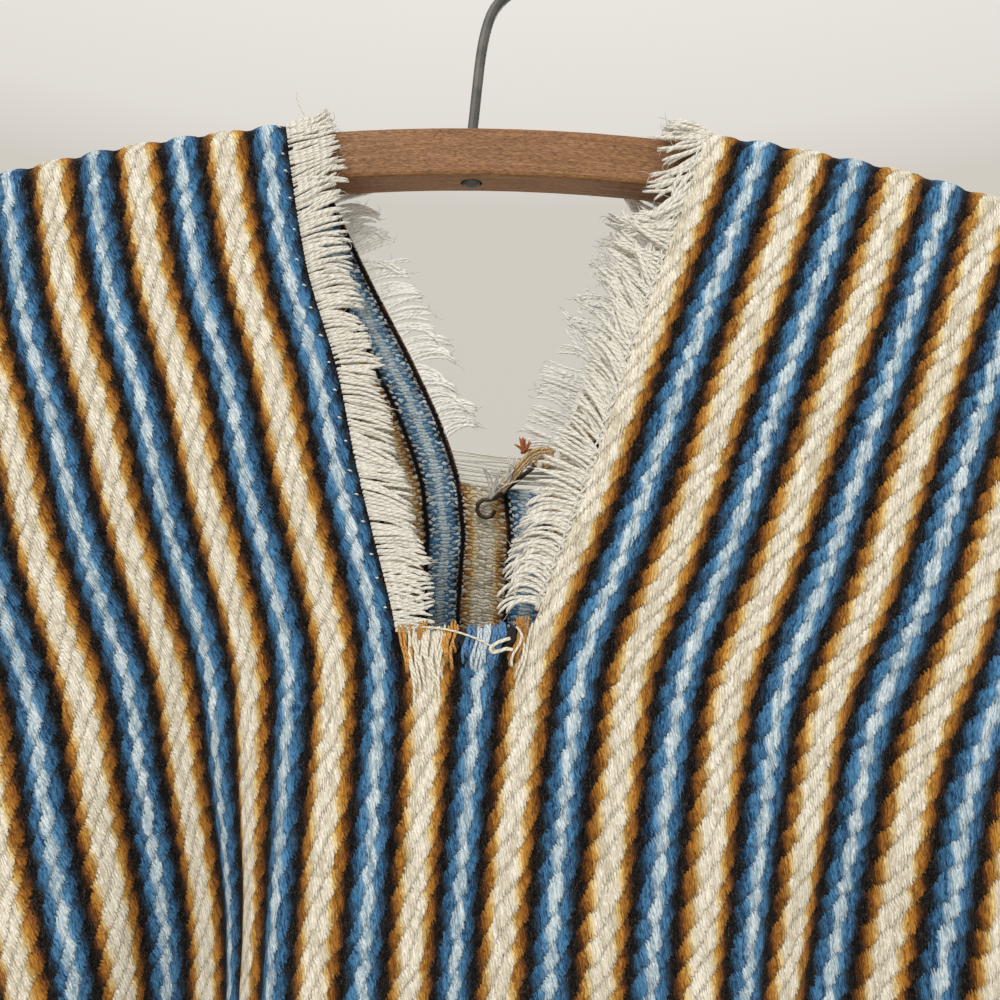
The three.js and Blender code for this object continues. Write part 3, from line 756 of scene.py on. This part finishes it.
# %% [markdown]
# ## The inner face of the cloth
# Inside, the weft lies on top. It shows as level rows of pale knots, set like bricks over the stripes.
# At the thin black lines the knots stop short from both sides, so a line runs between them in a
# zigzag, and beside the cream stripe the gold warp comes up in small blocks.

# %% Inner weave
KNOT_ROW, KNOT_REPEAT, BLACK_LINE = 1.42, 5.4, 0.556
KNOT_BANDS = [
    (0.00, (232, 226, 220)), (0.06, (216, 203, 178)), (0.14, (214, 201, 172)),
    (0.42, (214, 201, 172)), (0.50, (216, 202, 176)), (0.56, (234, 230, 226)),
    (0.64, (204, 216, 222)), (0.72, (196, 216, 226)), (0.78, (204, 222, 230)),
    (0.84, (196, 216, 226)), (0.92, (206, 218, 224)), (1.00, (232, 226, 220)),
]


def inner_weave():
    name = "inside of the stripes"
    finish = new_finish(name, Roughness=0.95, Sheen_Weight=0.05, Specular_IOR_Level=0.15)
    number, down = place_on(finish, "weave")
    across, run = number * REPEAT, down * 1000
    stray_x, stray_y = scatter(across * 0.42, run * 0.42)
    row = stray_y * 2.2 + run * (1 / KNOT_ROW)
    in_row = abs(row.rest() - 0.5)
    level = stray_x * 0.6 + across * (1 / KNOT_REPEAT)
    brick = row.whole() * 0.5 + level
    in_brick = abs(brick.rest() - 0.5)
    own = noise(brick.whole(), row.whole(), 3.0, detail=0, scale=0.67)
    tall = (in_row * 1.95) ** 2
    lens = tall + (in_brick * own.rise(0.3, 0.7, 2.5, 4.6)) ** 4
    # The warp changes colour in blocks of a few rows, so the edges of the stripes are ragged.
    block = noise((level * 2).whole(), (row * 0.34).whole(), 5.0, detail=0, scale=0.71)
    fibre = noise(across * 2.2, run * 3.0, 2.0, detail=3)
    light = fibre.rise(0.3, 0.62)
    warp = blend(light, *fibre_colours((block * 0.1 + (number - 0.05)).rest()))
    knots = number.rest().bands(KNOT_BANDS)
    knots = blend(light, blend(1.0, knots, (208, 204, 198), "MULTIPLY"), knots)
    knots = blend(own.rise(0.55, 0.35), knots, (206, 206, 206), "MULTIPLY")
    at_turn, at_line = (number + 0.5).rest() - 0.5, number.rest() - BLACK_LINE
    off_line = abs(at_turn).of("MINIMUM", abs(at_line))
    knot = lens.rise(1.25, 0.75) * off_line.rise(0.018, 0.042)
    colour = blend(knot * block.rise(0.46, 0.6, 1.0, 0.45), warp, knots)
    # Painted shade darkens the gaps between the rows of knots.
    gap = in_row.rise(0.3, 0.5) * lens.rise(0.6, 1.3, 0.35, 0.6)
    colour = blend(gap, colour, (110, 100, 88), "MULTIPLY")
    return paint(finish, colour, fibre * 0.4 + (knot - tall * 0.8), 0.35 * MM)


cloth_inside = inner_weave()
for cloth, node in ((front_cloth, "front_panel"), (back_cloth, "back_panel")):
    cloth.data.materials.append(cloth_outside)
    cloth.data.materials.append(cloth_inside)
    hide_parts(node)
    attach(cloth, "root")
print(cloth_inside.name, "uses", len(cloth_inside.node_tree.nodes), "nodes")

# %% [markdown]
# ## Yarns
# The fringe, the loose threads and the stitches are all yarns: thin tubes along a path. One helper
# makes many tubes as one piece. Each yarn has only a few dozen faces, and its two-ply twist is
# painted on with its own map, which counts once round the yarn and in millimetres along it.


# %% Smooth paths
def smooth(path, steps=5):
    """More points along a path, on a smooth curve through the given ones."""
    path = np.asarray(path, float)
    ends = np.vstack([2 * path[0] - path[1], path, 2 * path[-1] - path[-2]])
    line = []
    for before, a, b, after in zip(ends, ends[1:], ends[2:], ends[3:]):
        first, second = b - before, 2 * before - 5 * a + 4 * b - after
        third = 3 * a - before - 3 * b + after
        shares = np.arange(steps) / steps
        line += [0.5 * (2 * a + first * t + second * t**2 + third * t**3) for t in shares]
    return np.array(line + [path[-1]])


print("a smooth path of 3 points has", len(smooth(np.eye(3))))


# %% Tubes along paths
def yarn_piece(name, paths, widths, sides, material):
    """One mesh of closed tubes. paths are arrays of points in mm, widths their diameters in mm."""
    points, faces, places = [], [], []
    for path, width in zip(paths, widths):
        path = np.asarray(path, float)
        width = np.broadcast_to(np.asarray(width, float), (len(path),))
        heading = np.gradient(path, axis=0)
        heading /= np.linalg.norm(heading, axis=1, keepdims=True) + 1e-12
        side = np.cross(heading[0], [0.3, 1.0, 0.2])
        run = np.append(0, np.cumsum(np.linalg.norm(np.diff(path, axis=0), axis=1)))
        first = len(points)
        for point, ahead, across in zip(path, heading, width):
            side = side - ahead * np.dot(side, ahead)
            side /= np.linalg.norm(side)
            other = np.cross(ahead, side)
            for turn in 2 * math.pi * np.arange(sides) / sides:
                points.append(point + (side * math.cos(turn) + other * math.sin(turn)) * across / 2)
        for ring in range(len(path) - 1):
            for k in range(sides):
                a, b = first + ring * sides + k, first + ring * sides + (k + 1) % sides
                faces.append((a, b, b + sides, a + sides))
                places += [(k / sides, run[ring]), ((k + 1) / sides, run[ring])]
                places += [((k + 1) / sides, run[ring + 1]), (k / sides, run[ring + 1])]
        last = len(points) - sides
        faces.append(tuple(range(first + sides - 1, first - 1, -1)))
        faces.append(tuple(range(last, last + sides)))
        places += [(0.5, run[0])] * sides + [(0.5, run[-1])] * sides
    mesh = bpy.data.meshes.new(name)
    mesh.from_pydata((np.array(points) * MM).tolist(), [], faces)
    yarn_map = mesh.uv_layers.new(name="yarn")
    yarn_map.data.foreach_set("uv", np.array(places).ravel())
    mesh.polygons.foreach_set("use_smooth", [True] * len(faces))
    mesh.materials.append(material)
    piece = add_object(name, mesh)
    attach(piece, "root")
    print(name, "has", len(paths), "yarns and", sum(len(f) - 2 for f in faces), "triangles")
    return piece


print("yarn helper ready")


# %% Yarn finishes
TWIST = 2.6


def twisted_yarn(name, dark, light, groove, sheen=0.15):
    finish = new_finish(name, Roughness=0.95, Sheen_Weight=sheen)
    round_it, run = place_on(finish, "yarn")
    ply = abs((run * (1 / TWIST) + round_it * 2).rest() - 0.5)
    fibre = noise(round_it * 9, run * 1.4)
    colour = blend(fibre.rise(0.3, 0.66), dark, light)
    # The crease between the two plies is darkened with painted shade; groove sets how dark.
    cut = ply.rise(0.3, 0.5)
    colour = blend(cut * groove, colour, tuple(v * 0.42 for v in dark))
    return paint(finish, colour, fibre * 0.3 - cut, 0.22 * MM)


cotton = twisted_yarn("white cotton yarn", (202, 198, 186), (235, 232, 222), 0.19, 0.4)
# The back fringe uses the same cotton painted lighter, as painted light against the shade under the
# bar.
lightened_back_cotton = twisted_yarn("white cotton yarn painted lighter at the back", (238, 235, 227), (254, 253, 249), 0.1, 0.5)
# Each wool: its darkest and lightest fibre, and how dark the painted shade in its ply crease is.
WOOL_TONES = {
    "cream": ((206, 196, 172), (246, 240, 224), 0.3),
    "gold": ((150, 88, 22), (226, 170, 84), 0.4),
    "black": ((5, 4, 4), (30, 26, 26), 0.3),
    "blue": ((22, 66, 116), (104, 156, 206), 0.4),
    "pale_blue": ((140, 164, 182), (226, 236, 242), 0.3),
}
wools = {
    name: twisted_yarn(name.replace("_", " ") + " wool yarn", *tones)
    for name, tones in WOOL_TONES.items()
}
print(cotton.name, "and", len(wools), "wools ready")

# %% [markdown]
# ## The fringe of the neck slot
# Cutting the slot left the weft standing out along both of its edges. On the left it is dense and lies
# nearly straight. On the right it is looser: it droops under the bar, stands up the edge further
# down, and arches over near the bottom. A table holds that course, and each yarn takes its own from
# it with a little chance. Yarns cling together in locks, so their roots and tips are drawn together.


# %% The frame of a slot's edge
def slot_edge_frame(panel, side, downs):
    """Places along an edge of the slot, and there: the way down, into the slot, and outwards."""
    edge = hang(panel, [0 if side == "left" else SLOT_WIDTH], downs)[0]
    down = np.gradient(edge, axis=0)
    down[0] = down[1]
    down = unit(down)
    over = np.clip(np.asarray(downs) / ARCH_RUN, 0, 1)[:, None]
    lift = unit(np.array([0, 0, 1.0]) * (1 - over) + np.array([0, FACING[panel], 0]) * over)
    inward = np.cross(down, lift)
    inward = unit(inward * np.sign(inward[:, :1]) * (1 if side == "left" else -1))
    return edge, down, inward, lift


print("edge at 100 mm:", slot_edge_frame("front", "left", [90.0, 100.0])[0][1].round(1).tolist())

# %% The course of each fringe: place down, angle at the root, turn, length
COURSES = {
    ("front", "left"): [
        (0, 12, 8, 16.5), (10, 4, 8, 17), (20, 12, 6, 17), (32, 22, -6, 17.5), (50, 20, -14, 16.5),
        (62, 18, -36, 15.5), (74, 12, -54, 15), (88, 4, -24, 14), (102, -14, -8, 14.5),
        (118, -24, -8, 15), (135, -32, -4, 16.5), (150, -18, -26, 17), (166, -10, -34, 16.5),
        (182, -16, 0, 15), (197, -16, 10, 13.5),
    ],
    ("front", "right"): [
        (0, -6, 6, 17), (8, -20, -2, 19), (15, -40, -8, 20), (25, -60, -2, 20), (35, -54, 12, 19),
        (44, -22, 6, 20), (54, -12, 20, 21), (64, 12, 16, 21), (77, 36, 2, 22), (97, 42, -4, 22),
        (107, 46, -24, 22), (118, 60, -46, 21), (127, 54, -40, 19), (136, 28, -24, 18.5),
        (154, 20, -52, 20), (165, 32, -84, 21), (178, 38, -120, 20.5), (194, 22, -100, 18),
    ],
    ("back", "left"): [
        (0, -4, -4, 12), (16, 4, -10, 15), (30, 6, -26, 17.5), (55, 2, -40, 16.5),
        (80, 0, -56, 18), (105, -2, -66, 18), (134, 12, -70, 15),
    ],
    ("back", "right"): [
        (0, -8, 4, 13), (20, -6, 16, 17), (42, 4, 20, 20), (92, 16, -10, 21), (134, 10, -30, 17),
    ],
}
# Layers of yarns: their pitch, how far above the foot they stop, seed, stray, gather, loft and locks.
LAYERS = {
    ("front", "left"): [(1.42, 1, 21, 4.5, 0.22, 0.12, (3, 8)), (1.7, 1, 25, 7, 0.15, -0.1, (3, 7))],
    ("front", "right"): [
        (2.4, 6, 22, 7, 0.36, 0.4, (2, 4)),
        (2.1, 7, 26, 10, 0.36, 0.1, (2, 5)),
        (1.9, 8, 27, 14, 0.3, -0.25, (3, 7)),
    ],
    ("back", "left"): [(0.8, 18, 23, 8, 0.45, 0.15, (3, 8))],
    ("back", "right"): [(0.8, 18, 24, 10, 0.45, 0.15, (3, 8))],
}
YARN_POINTS, ROOT_DEPTH = 11, 1.6
print("fringe layers:", sum(map(len, LAYERS.values())))


# %% Fringe paths
def fringe_paths(panel, side, pitch, stops, seed, stray, gather, loft, locks):
    """One layer of yarns. stray is in degrees, gather is how far a lock draws its yarns together."""
    dice = np.random.default_rng(seed)
    downs = np.arange(0.8, SLOT_LENGTH[panel] - stops, pitch)
    downs = downs + dice.uniform(-0.22, 0.22, len(downs)) * pitch
    table = np.array(COURSES[panel, side], float).T
    root, turn, length = (np.interp(downs, table[0], row) for row in table[1:])
    lock = np.repeat(np.arange(len(downs)), dice.integers(*locks, len(downs)))[: len(downs)]
    for number in np.unique(lock):
        one = lock == number
        downs[one] += (downs[one].mean() - downs[one]) * 0.3 * gather
        root[one] += dice.normal(0, stray)
        turn[one] += dice.normal(0, 1.6 * stray)
        length[one] *= dice.uniform(0.88, 1.12)
    edge, down, inward, lift = slot_edge_frame(panel, side, downs)
    share = np.linspace(0, 1, YARN_POINTS)
    paths = np.zeros((len(downs), YARN_POINTS, 3))
    for k, v in enumerate(downs):
        on_bar = 1 - float(ease(13, 30, v))
        step = length[k] * dice.uniform(0.92, 1.06) / (YARN_POINTS - 1)
        start = root[k] + dice.normal(0, 0.35 * stray)
        bend = turn[k] + dice.normal(0, 0.9 * stray)
        wave, beat = dice.uniform(2, 9), dice.uniform(0, 2 * math.pi)
        rise = dice.uniform(-0.3, 1.0) * loft * (1 - on_bar) + 0.02
        if panel == "front" and v < 7:
            rise += dice.uniform(0.1, 0.55)
        paths[k, 0] = edge[k] - inward[k] * ROOT_DEPTH + lift[k] * dice.uniform(-0.3, 0.5)
        for n in range(1, YARN_POINTS):
            angle = start + bend * share[n] ** 1.3 + wave * math.sin(beat + 5 * share[n])
            angle = math.radians(angle)
            heading = inward[k] * math.cos(angle) - down[k] * math.sin(angle)
            heading = heading + lift[k] * rise * (1 - 1.4 * share[n]) + dice.normal(0, 0.03, 3)
            paths[k, n] = paths[k, n - 1] + heading * step
        paths[k, :, 2] += (bow_height(paths[k, :, 0]) - bow_height(paths[k, 0, 0])) * on_bar
    for number in np.unique(lock):
        one = lock == number
        middle = paths[one].mean(axis=0)
        pull = gather * share[:, None] ** 1.4
        paths[one] += (middle - paths[one]) * pull * dice.uniform(0.5, 1.0, (int(one.sum()), 1, 1))
    return list(paths)


fringe_yarns = {
    where: [path for layer in layers for path in fringe_paths(*where, *layer)]
    for where, layers in LAYERS.items()
}
print("fringe yarns:", sum(map(len, fringe_yarns.values())))

# %% Fringe pieces
TAPER = np.array([1.0] * (YARN_POINTS - 3) + [0.95, 0.82, 0.45])
THICKNESS = dict(zip(LAYERS, (1.26, 1.42, 1.15, 1.15)))
fringes = {"front": [], "back": []}
for (panel, side), yarns in fringe_yarns.items():
    dice = np.random.default_rng(len(yarns))
    widths = [TAPER * THICKNESS[panel, side] * dice.uniform(0.9, 1.1) for _ in yarns]
    # The back fringe gets the cotton painted lighter, as painted light against the shade under the bar.
    yarn = cotton if panel == "front" else lightened_back_cotton
    piece = yarn_piece(f"fringe_yarns_{panel}_{side}", yarns, widths, 6, yarn)
    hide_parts(f"fringe_{panel}_{side}")
    fringes[panel].append(piece)


# %% Loose hairs that stand off the fringe
def strand(start, heading, bend, steps):
    """A short thread that sets out along heading and bends a little more at each step."""
    path = [start]
    for step in steps:
        path.append(path[-1] + unit(heading) * step)
        heading = heading + bend
    return np.array(path)


def hair_paths(yarns, count, length, seed):
    """Fine bent hairs that leave a yarn somewhere along its outer part."""
    dice = np.random.default_rng(seed)
    hairs = []
    for _ in range(count):
        yarn = yarns[dice.integers(len(yarns))]
        at = dice.integers(len(yarn) // 3, len(yarn))
        heading = unit(yarn[at] - yarn[at - 1]) + dice.normal(0, 0.55, 3)
        bend = dice.normal(0, 0.4, 3)
        step = length * dice.uniform(0.4, 1.3) / 4
        hairs.append(strand(yarn[at], heading, bend, [step] * 4))
    return hairs


HAIRS = [(420, 4, 51), (420, 5, 52), (260, 4, 53), (240, 4, 54)]
hairs = [hair for yarns, few in zip(fringe_yarns.values(), HAIRS) for hair in hair_paths(yarns, *few)]
yarn_piece("fringe_hairs", hairs, [[0.26, 0.24, 0.22, 0.18, 0.1]] * len(hairs), 3, cotton)

# %% [markdown]
# ## Loosened yarns along the slot
# The last two warp yarns of the right edge have slipped off the weft. They wander down over the roots
# of the fringe like a loose ladder. On the left edge the weft comes up as a small white bead beside
# the black line, once to every ridge of the weave.


# %% Ladder yarns
def ladder_path(start, seed):
    """One of two yarns that cross each other every few millimetres, down the roots of the fringe."""
    dice = np.random.default_rng(seed)
    downs = np.arange(3.0, 192, 1.1)
    edge, _, inward, lift = slot_edge_frame("front", "right", downs)
    marks = downs[::6]
    beat = np.interp(downs, marks, start + marks * math.pi / 4.6 + dice.uniform(-0.5, 0.5, len(marks)))
    aside, above = 0.9 + 0.95 * np.sin(beat), 1.0 + 0.45 * np.cos(beat)
    return edge + inward * aside[:, None] + lift * above[:, None]


ladder = [ladder_path(0, 31), ladder_path(math.pi, 31)]
yarn_piece("ladder_yarns", ladder, [0.8, 0.75], 5, cotton)

# %% Weft beads
BEAD_SHAPE = np.array([(-0.9, 0.5, 0.2), (-0.3, 0, 0.1), (0.3, 0, -0.1), (0.9, 0.5, -0.2)])
BEAD_PITCH, BEAD_PROUD = 9.8, -2.1
dice = np.random.default_rng(35)
beads = []
for place in hang("front", [-3.6], np.arange(10.0, 188, BEAD_PITCH))[0]:
    moved = place + [dice.uniform(-0.4, 0.4), BEAD_PROUD, dice.uniform(-2, 2)]
    beads.append(moved + BEAD_SHAPE * dice.uniform(0.5, 0.85))
yarn_piece("weft_beads", beads, [[0.35, 0.65, 0.65, 0.35]] * len(beads), 6, cotton)

# %% [markdown]
# ## The frayed foot of the slot
# At the bottom of the front slot the warp was cut across. Its yarns have come loose there: each one
# lies over the cloth for a short way, wanders a little, and ends in a small tuft of its stripe's own
# colour. One thread of weft has slipped out and hangs across.

# %% Loose warp ends at the front
# Where each wool ends in a stripe, and each wool's loose run below the foot and its reach above it.
WOOL_ENDS = [(0.035, "black"), (0.13, "gold"), (0.41, "cream"), (0.52, "gold"), (0.59, "black")]
WOOL_ENDS += [(0.7, "blue"), (0.84, "pale_blue"), (0.95, "blue"), (1.0, "black")]
LOOSE = dict(cream=(24, 2.6), gold=(12, 3.6), black=(7, 1.0), blue=(13, 2.6), pale_blue=(17, 2.6))
FOOT = SLOT_LENGTH["front"]


def over_cloth(panel, places):
    """Points at rows of distance across, distance down and height over the cloth's middle surface."""
    across, down, over = np.array(places, float).T
    grid = hang(panel, across, down)
    each = np.arange(len(across))
    return grid[each, each] + np.outer(over, [0, FACING[panel], 0])


def loose_warp(spacing, seed):
    dice = np.random.default_rng(seed)
    ends = {name: [] for name in wools}
    for spot in np.arange(0.8, SLOT_WIDTH - 0.6, spacing):
        part = float(stripe_number(spot)) % 1
        name = next(name for limit, name in WOOL_ENDS if part < limit)
        run, top = LOOSE[name][0] * dice.uniform(0.5, 1.1), LOOSE[name][1] * dice.uniform(0.3, 1.25)
        wave = dice.uniform(0.9, 1.6) if name == "cream" else dice.uniform(0.3, 1.0)
        beat = 0.14 * spot + dice.uniform(0, 1.1)
        lean = dice.normal(0, 0.1)
        places = []
        for t in np.linspace(0, 1, 10):
            waver = wave * math.sin(beat + 4.5 * t) * math.sin(math.pi * min(t + 0.1, 1))
            drift = lean * t * (run + top) * 0.4
            u = float(np.clip(spot + waver + drift, -1.5, SLOT_WIDTH + 1.5))
            over = 1.0 + 1.9 * float(ease(0, 0.3, t)) + dice.normal(0, 0.12)
            places.append((u, FOOT + run - t * (run + top), over))
        ends[name].append(smooth(over_cloth("front", places), 2))
    return ends


LOOSE_WIDTHS = [0.7] + [1.15] * 16 + [0.95, 0.6]
for name, ends in loose_warp(0.55, 41).items():
    yarn_piece("loose_warp_" + name, ends, [LOOSE_WIDTHS] * len(ends), 5, wools[name])

# %% One slipped weft thread, a curl and a straw at its right, and a stray yarn above the shoulder
AT_FOOT = [
    [(2, -2.4, 2.4), (8, -2.6, 3.6), (14, -1.2, 3.9), (20, 1.4, 3.8), (25, 4.4, 3.6), (28, 7, 3.2)],
    [
        (31.4, 3, 3.4), (29.4, 3.4, 4.4), (27.4, 4.4, 4.6), (26.2, 6, 4.4), (27.2, 7.4, 4.0),
        (29.2, 7, 4.2), (31, 6.4, 4.6), (33, 7, 4.2),
    ],
    [(32.5, -1, 3.2), (34.4, 1.6, 4.6), (34.6, 5, 4.8), (33.4, 9, 4.2), (33.8, 13, 3.0)],
]
STRAY = [
    (-62.5, -4, -93.5), (-63.9, -4, -90.5), (-64.6, -4.5, -87.5), (-66.4, -5, -84), (-66.9, -5, -80.5),
]
slipped = [over_cloth("front", np.add(rows, [0, FOOT, 0])) for rows in AT_FOOT] + [STRAY]
slipped = [smooth(path) for path in slipped]
yarn_piece("slipped_yarns", slipped, [0.75, 1.3, 1.0, 0.5], 6, wools["cream"])


# %% Tufts
def tuft(root, aim, spread, count, length, seed):
    """A few short yarns that fan out from one place."""
    dice = np.random.default_rng(seed)
    aim = unit(np.array(aim, float))
    paths = []
    for _ in range(count):
        heading = aim + dice.normal(0, spread, 3)
        bend = dice.normal(0, 0.12, 3)
        start = np.array(root, float) + dice.normal(0, 0.35, 3)
        paths.append(strand(start, heading, bend, length * dice.uniform(0.8, 1.2, 5) / 5))
    return paths


right_foot, left_foot = over_cloth("front", [(35.5, FOOT + 1, 3), (5.5, FOOT + 1, 3)])
gold_tufts = tuft(right_foot, (-0.5, -0.1, 1), 0.35, 16, 5.5, 61)
gold_tufts += tuft(left_foot, (0.2, 0, 1), 0.18, 9, 6, 62)
gold_widths = [[1.0, 1.0, 0.95, 0.85, 0.7, 0.4]] * len(gold_tufts)
yarn_piece("gold_tufts", gold_tufts, gold_widths, 5, wools["gold"])

# %% [markdown]
# ## The bare weft behind, and the sewn wire hook
# Over the last 17 mm of the back slot the warp is gone and the weft still runs across, bare. A few
# warp ends stand loose over it. At its right corner a small bent wire is sewn on as a neck hook: a
# thread is wound round its shank and comes back over it in a flat loop.

# %% Bare weft of the back slot
FIRST_WEFT, WEFT_COUNT, WEFT_PITCH, WEFT_TUCK = 136.8, 12, 1.25, 3


def bare_weft(seed):
    dice = np.random.default_rng(seed)
    downs = FIRST_WEFT + WEFT_PITCH * np.arange(WEFT_COUNT) + dice.uniform(-0.25, 0.25, WEFT_COUNT)
    left = slot_edge_frame("back", "left", downs)
    right = slot_edge_frame("back", "right", downs)
    share = np.linspace(0, 1, 14)[:, None]
    paths = []
    for k in range(WEFT_COUNT):
        start, end = left[0][k] - left[2][k] * WEFT_TUCK, right[0][k] - right[2][k] * WEFT_TUCK
        sag = np.sin(math.pi * share) * dice.uniform(0.1, 1.4)
        sag = sag + 0.35 * np.sin(7 * share + dice.uniform(0, 6))
        path = start * (1 - share) + end * share - sag * [0, 0, 1]
        path[:, 1] += dice.uniform(-0.9, 0.4)
        paths.append(path)
    return paths


wefts = bare_weft(71)
loose_ends = tuft((6, 10.6, -229), (0.35, -0.25, 1), 0.22, 9, 15, 72)
loose_ends += tuft((11, 10.6, -226), (0.45, -0.25, 1), 0.25, 10, 13, 73)
weft_widths = [1.0] * len(wefts) + [0.75] * len(loose_ends)
yarn_piece("bare_weft", wefts + loose_ends, weft_widths, 5, cotton)


# %% Thread wound round the neck hook
def winding(start, end, radius, pitch):
    """A thread wound tightly round a straight line."""
    start, end, level = np.array(start, float), np.array(end, float), np.array([0, 1.0, 0])
    side = np.cross(unit(end - start), level)
    turns = np.linalg.norm(end - start) / pitch
    path = []
    for t in np.linspace(0, 1, int(turns * 10) + 1):
        angle = 2 * math.pi * turns * t
        around = side * math.cos(angle) + level * math.sin(angle)
        path.append(start + (end - start) * t + radius * around)
    return np.array(path)


LOOP = [(9.3, 9.4, -224.3), (13.8, 9.0, -219.3), (17.4, 8.6, -214.9), (21, 8.4, -211.3)]
LOOP += [(25.1, 8.4, -209.5), (28.6, 8.8, -210.4), (28.9, 9.4, -213), (25.2, 9.8, -214.8)]
tan_thread = twisted_yarn("tan thread", (158, 116, 66), (232, 204, 156), 0.35)
wound = winding((23.2, 11.8, -216.4), (29.6, 11.8, -209.3), 1.4, 1.0)
loop = smooth(LOOP, 4)
threads = [wound, loop, loop + [0.6, 0.3, -1.2], loop * [0.98, 1, 1] + [1.3, 0.7, -2.2]]
hook_thread = yarn_piece("hook_thread", threads, [1.05, 1.5, 1.4, 1.3], 6, tan_thread)
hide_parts("neck_hook_thread")

# %% A white knot and a rust-coloured tuft beside it
KNOT = [(24.9, 8.6, -217.4), (24.8, 8.3, -216.4), (24.9, 8.3, -215.2), (25.2, 8.6, -214.2)]
yarn_piece("hook_knot", [KNOT], [[0.8, 2.3, 2.1, 0.9]], 8, cotton)
rust_wool = twisted_yarn("rust wool yarn", (126, 54, 18), (206, 118, 50), 0.4)
rust_ends = tuft((18.4, 8.8, -211.2), (-0.1, -0.1, 1), 0.5, 16, 5.5, 74)
yarn_piece("hook_tuft", rust_ends, [[1.2, 1.2, 1.1, 1.0, 0.8, 0.4]] * 16, 5, rust_wool)

# %% [markdown]
# ## The hanger
# The packed bar and hook have the right shape, so they stay and only get a finish. The wood is a
# plain oiled hardwood whose short flecks run along the bar. The hook is dull dark wire.


# %% Wood and steel
def oiled_wood():
    finish = new_finish("oiled wood", Roughness=0.6)
    x, y, z = place_in_room(finish)
    # Height above the bow's own curve, so that the grain follows the bend of the bar.
    level = z + x * x * (1 / (2 * BOW_RADIUS))
    streak = noise(x * 0.045, level * 0.9, y * 0.8, detail=4)
    fleck = noise(x * 0.42, level * 3.2, y * 3.2)
    pore = noise(x * 0.55, level * 4.6, y * 4.6, detail=1)
    cloud = noise(x * 0.03, level * 0.12, 3.0)
    colour = blend(streak.rise(0.36, 0.64), (120, 79, 41), (143, 97, 53))
    colour = blend(cloud.rise(0.35, 0.65, 0.0, 0.4), colour, (134, 90, 50))
    colour = blend(fleck.rise(0.5, 0.62, 0.0, 0.6), colour, (100, 64, 34))
    colour = blend(fleck.rise(0.46, 0.36, 0.0, 0.55), colour, (171, 127, 76))
    colour = blend(pore.rise(0.6, 0.68, 0.0, 0.7), colour, (72, 46, 26))
    height = streak * 0.3 - pore.rise(0.6, 0.7)
    return paint(finish, colour, height, 0.08 * MM, streak.rise(0.3, 0.7, 0.66, 0.52))


def dull_wire(name, dark, light, roughness):
    finish = new_finish(name, Roughness=roughness, Metallic=0.6)
    place = place_in_room(finish)
    stain = noise(*[part * 0.12 for part in place], detail=4)
    colour = blend(stain.rise(0.3, 0.72), dark, light)
    shine = stain.rise(0.3, 0.7, roughness, roughness + 0.1)
    return paint(finish, colour, noise(*place, scale=2.2), 0.02 * MM, shine)


HANGER_FINISHES = {
    "hanger_bar": oiled_wood(),
    "hanger_hook": dull_wire("dark steel wire", (74, 74, 70), (102, 102, 97), 0.4),
    "neck_hook": dull_wire("browned wire", (44, 32, 24), (84, 66, 52), 0.45),
}
for node, material in HANGER_FINISHES.items():
    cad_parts[node].data.materials.clear()
    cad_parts[node].data.materials.append(material)
print("finished:", list(HANGER_FINISHES))

# %% [markdown]
# ## The cloth
# Each panel is a sheet of a known cut, hung on the bar. The fringe yarns are listed with their panel.
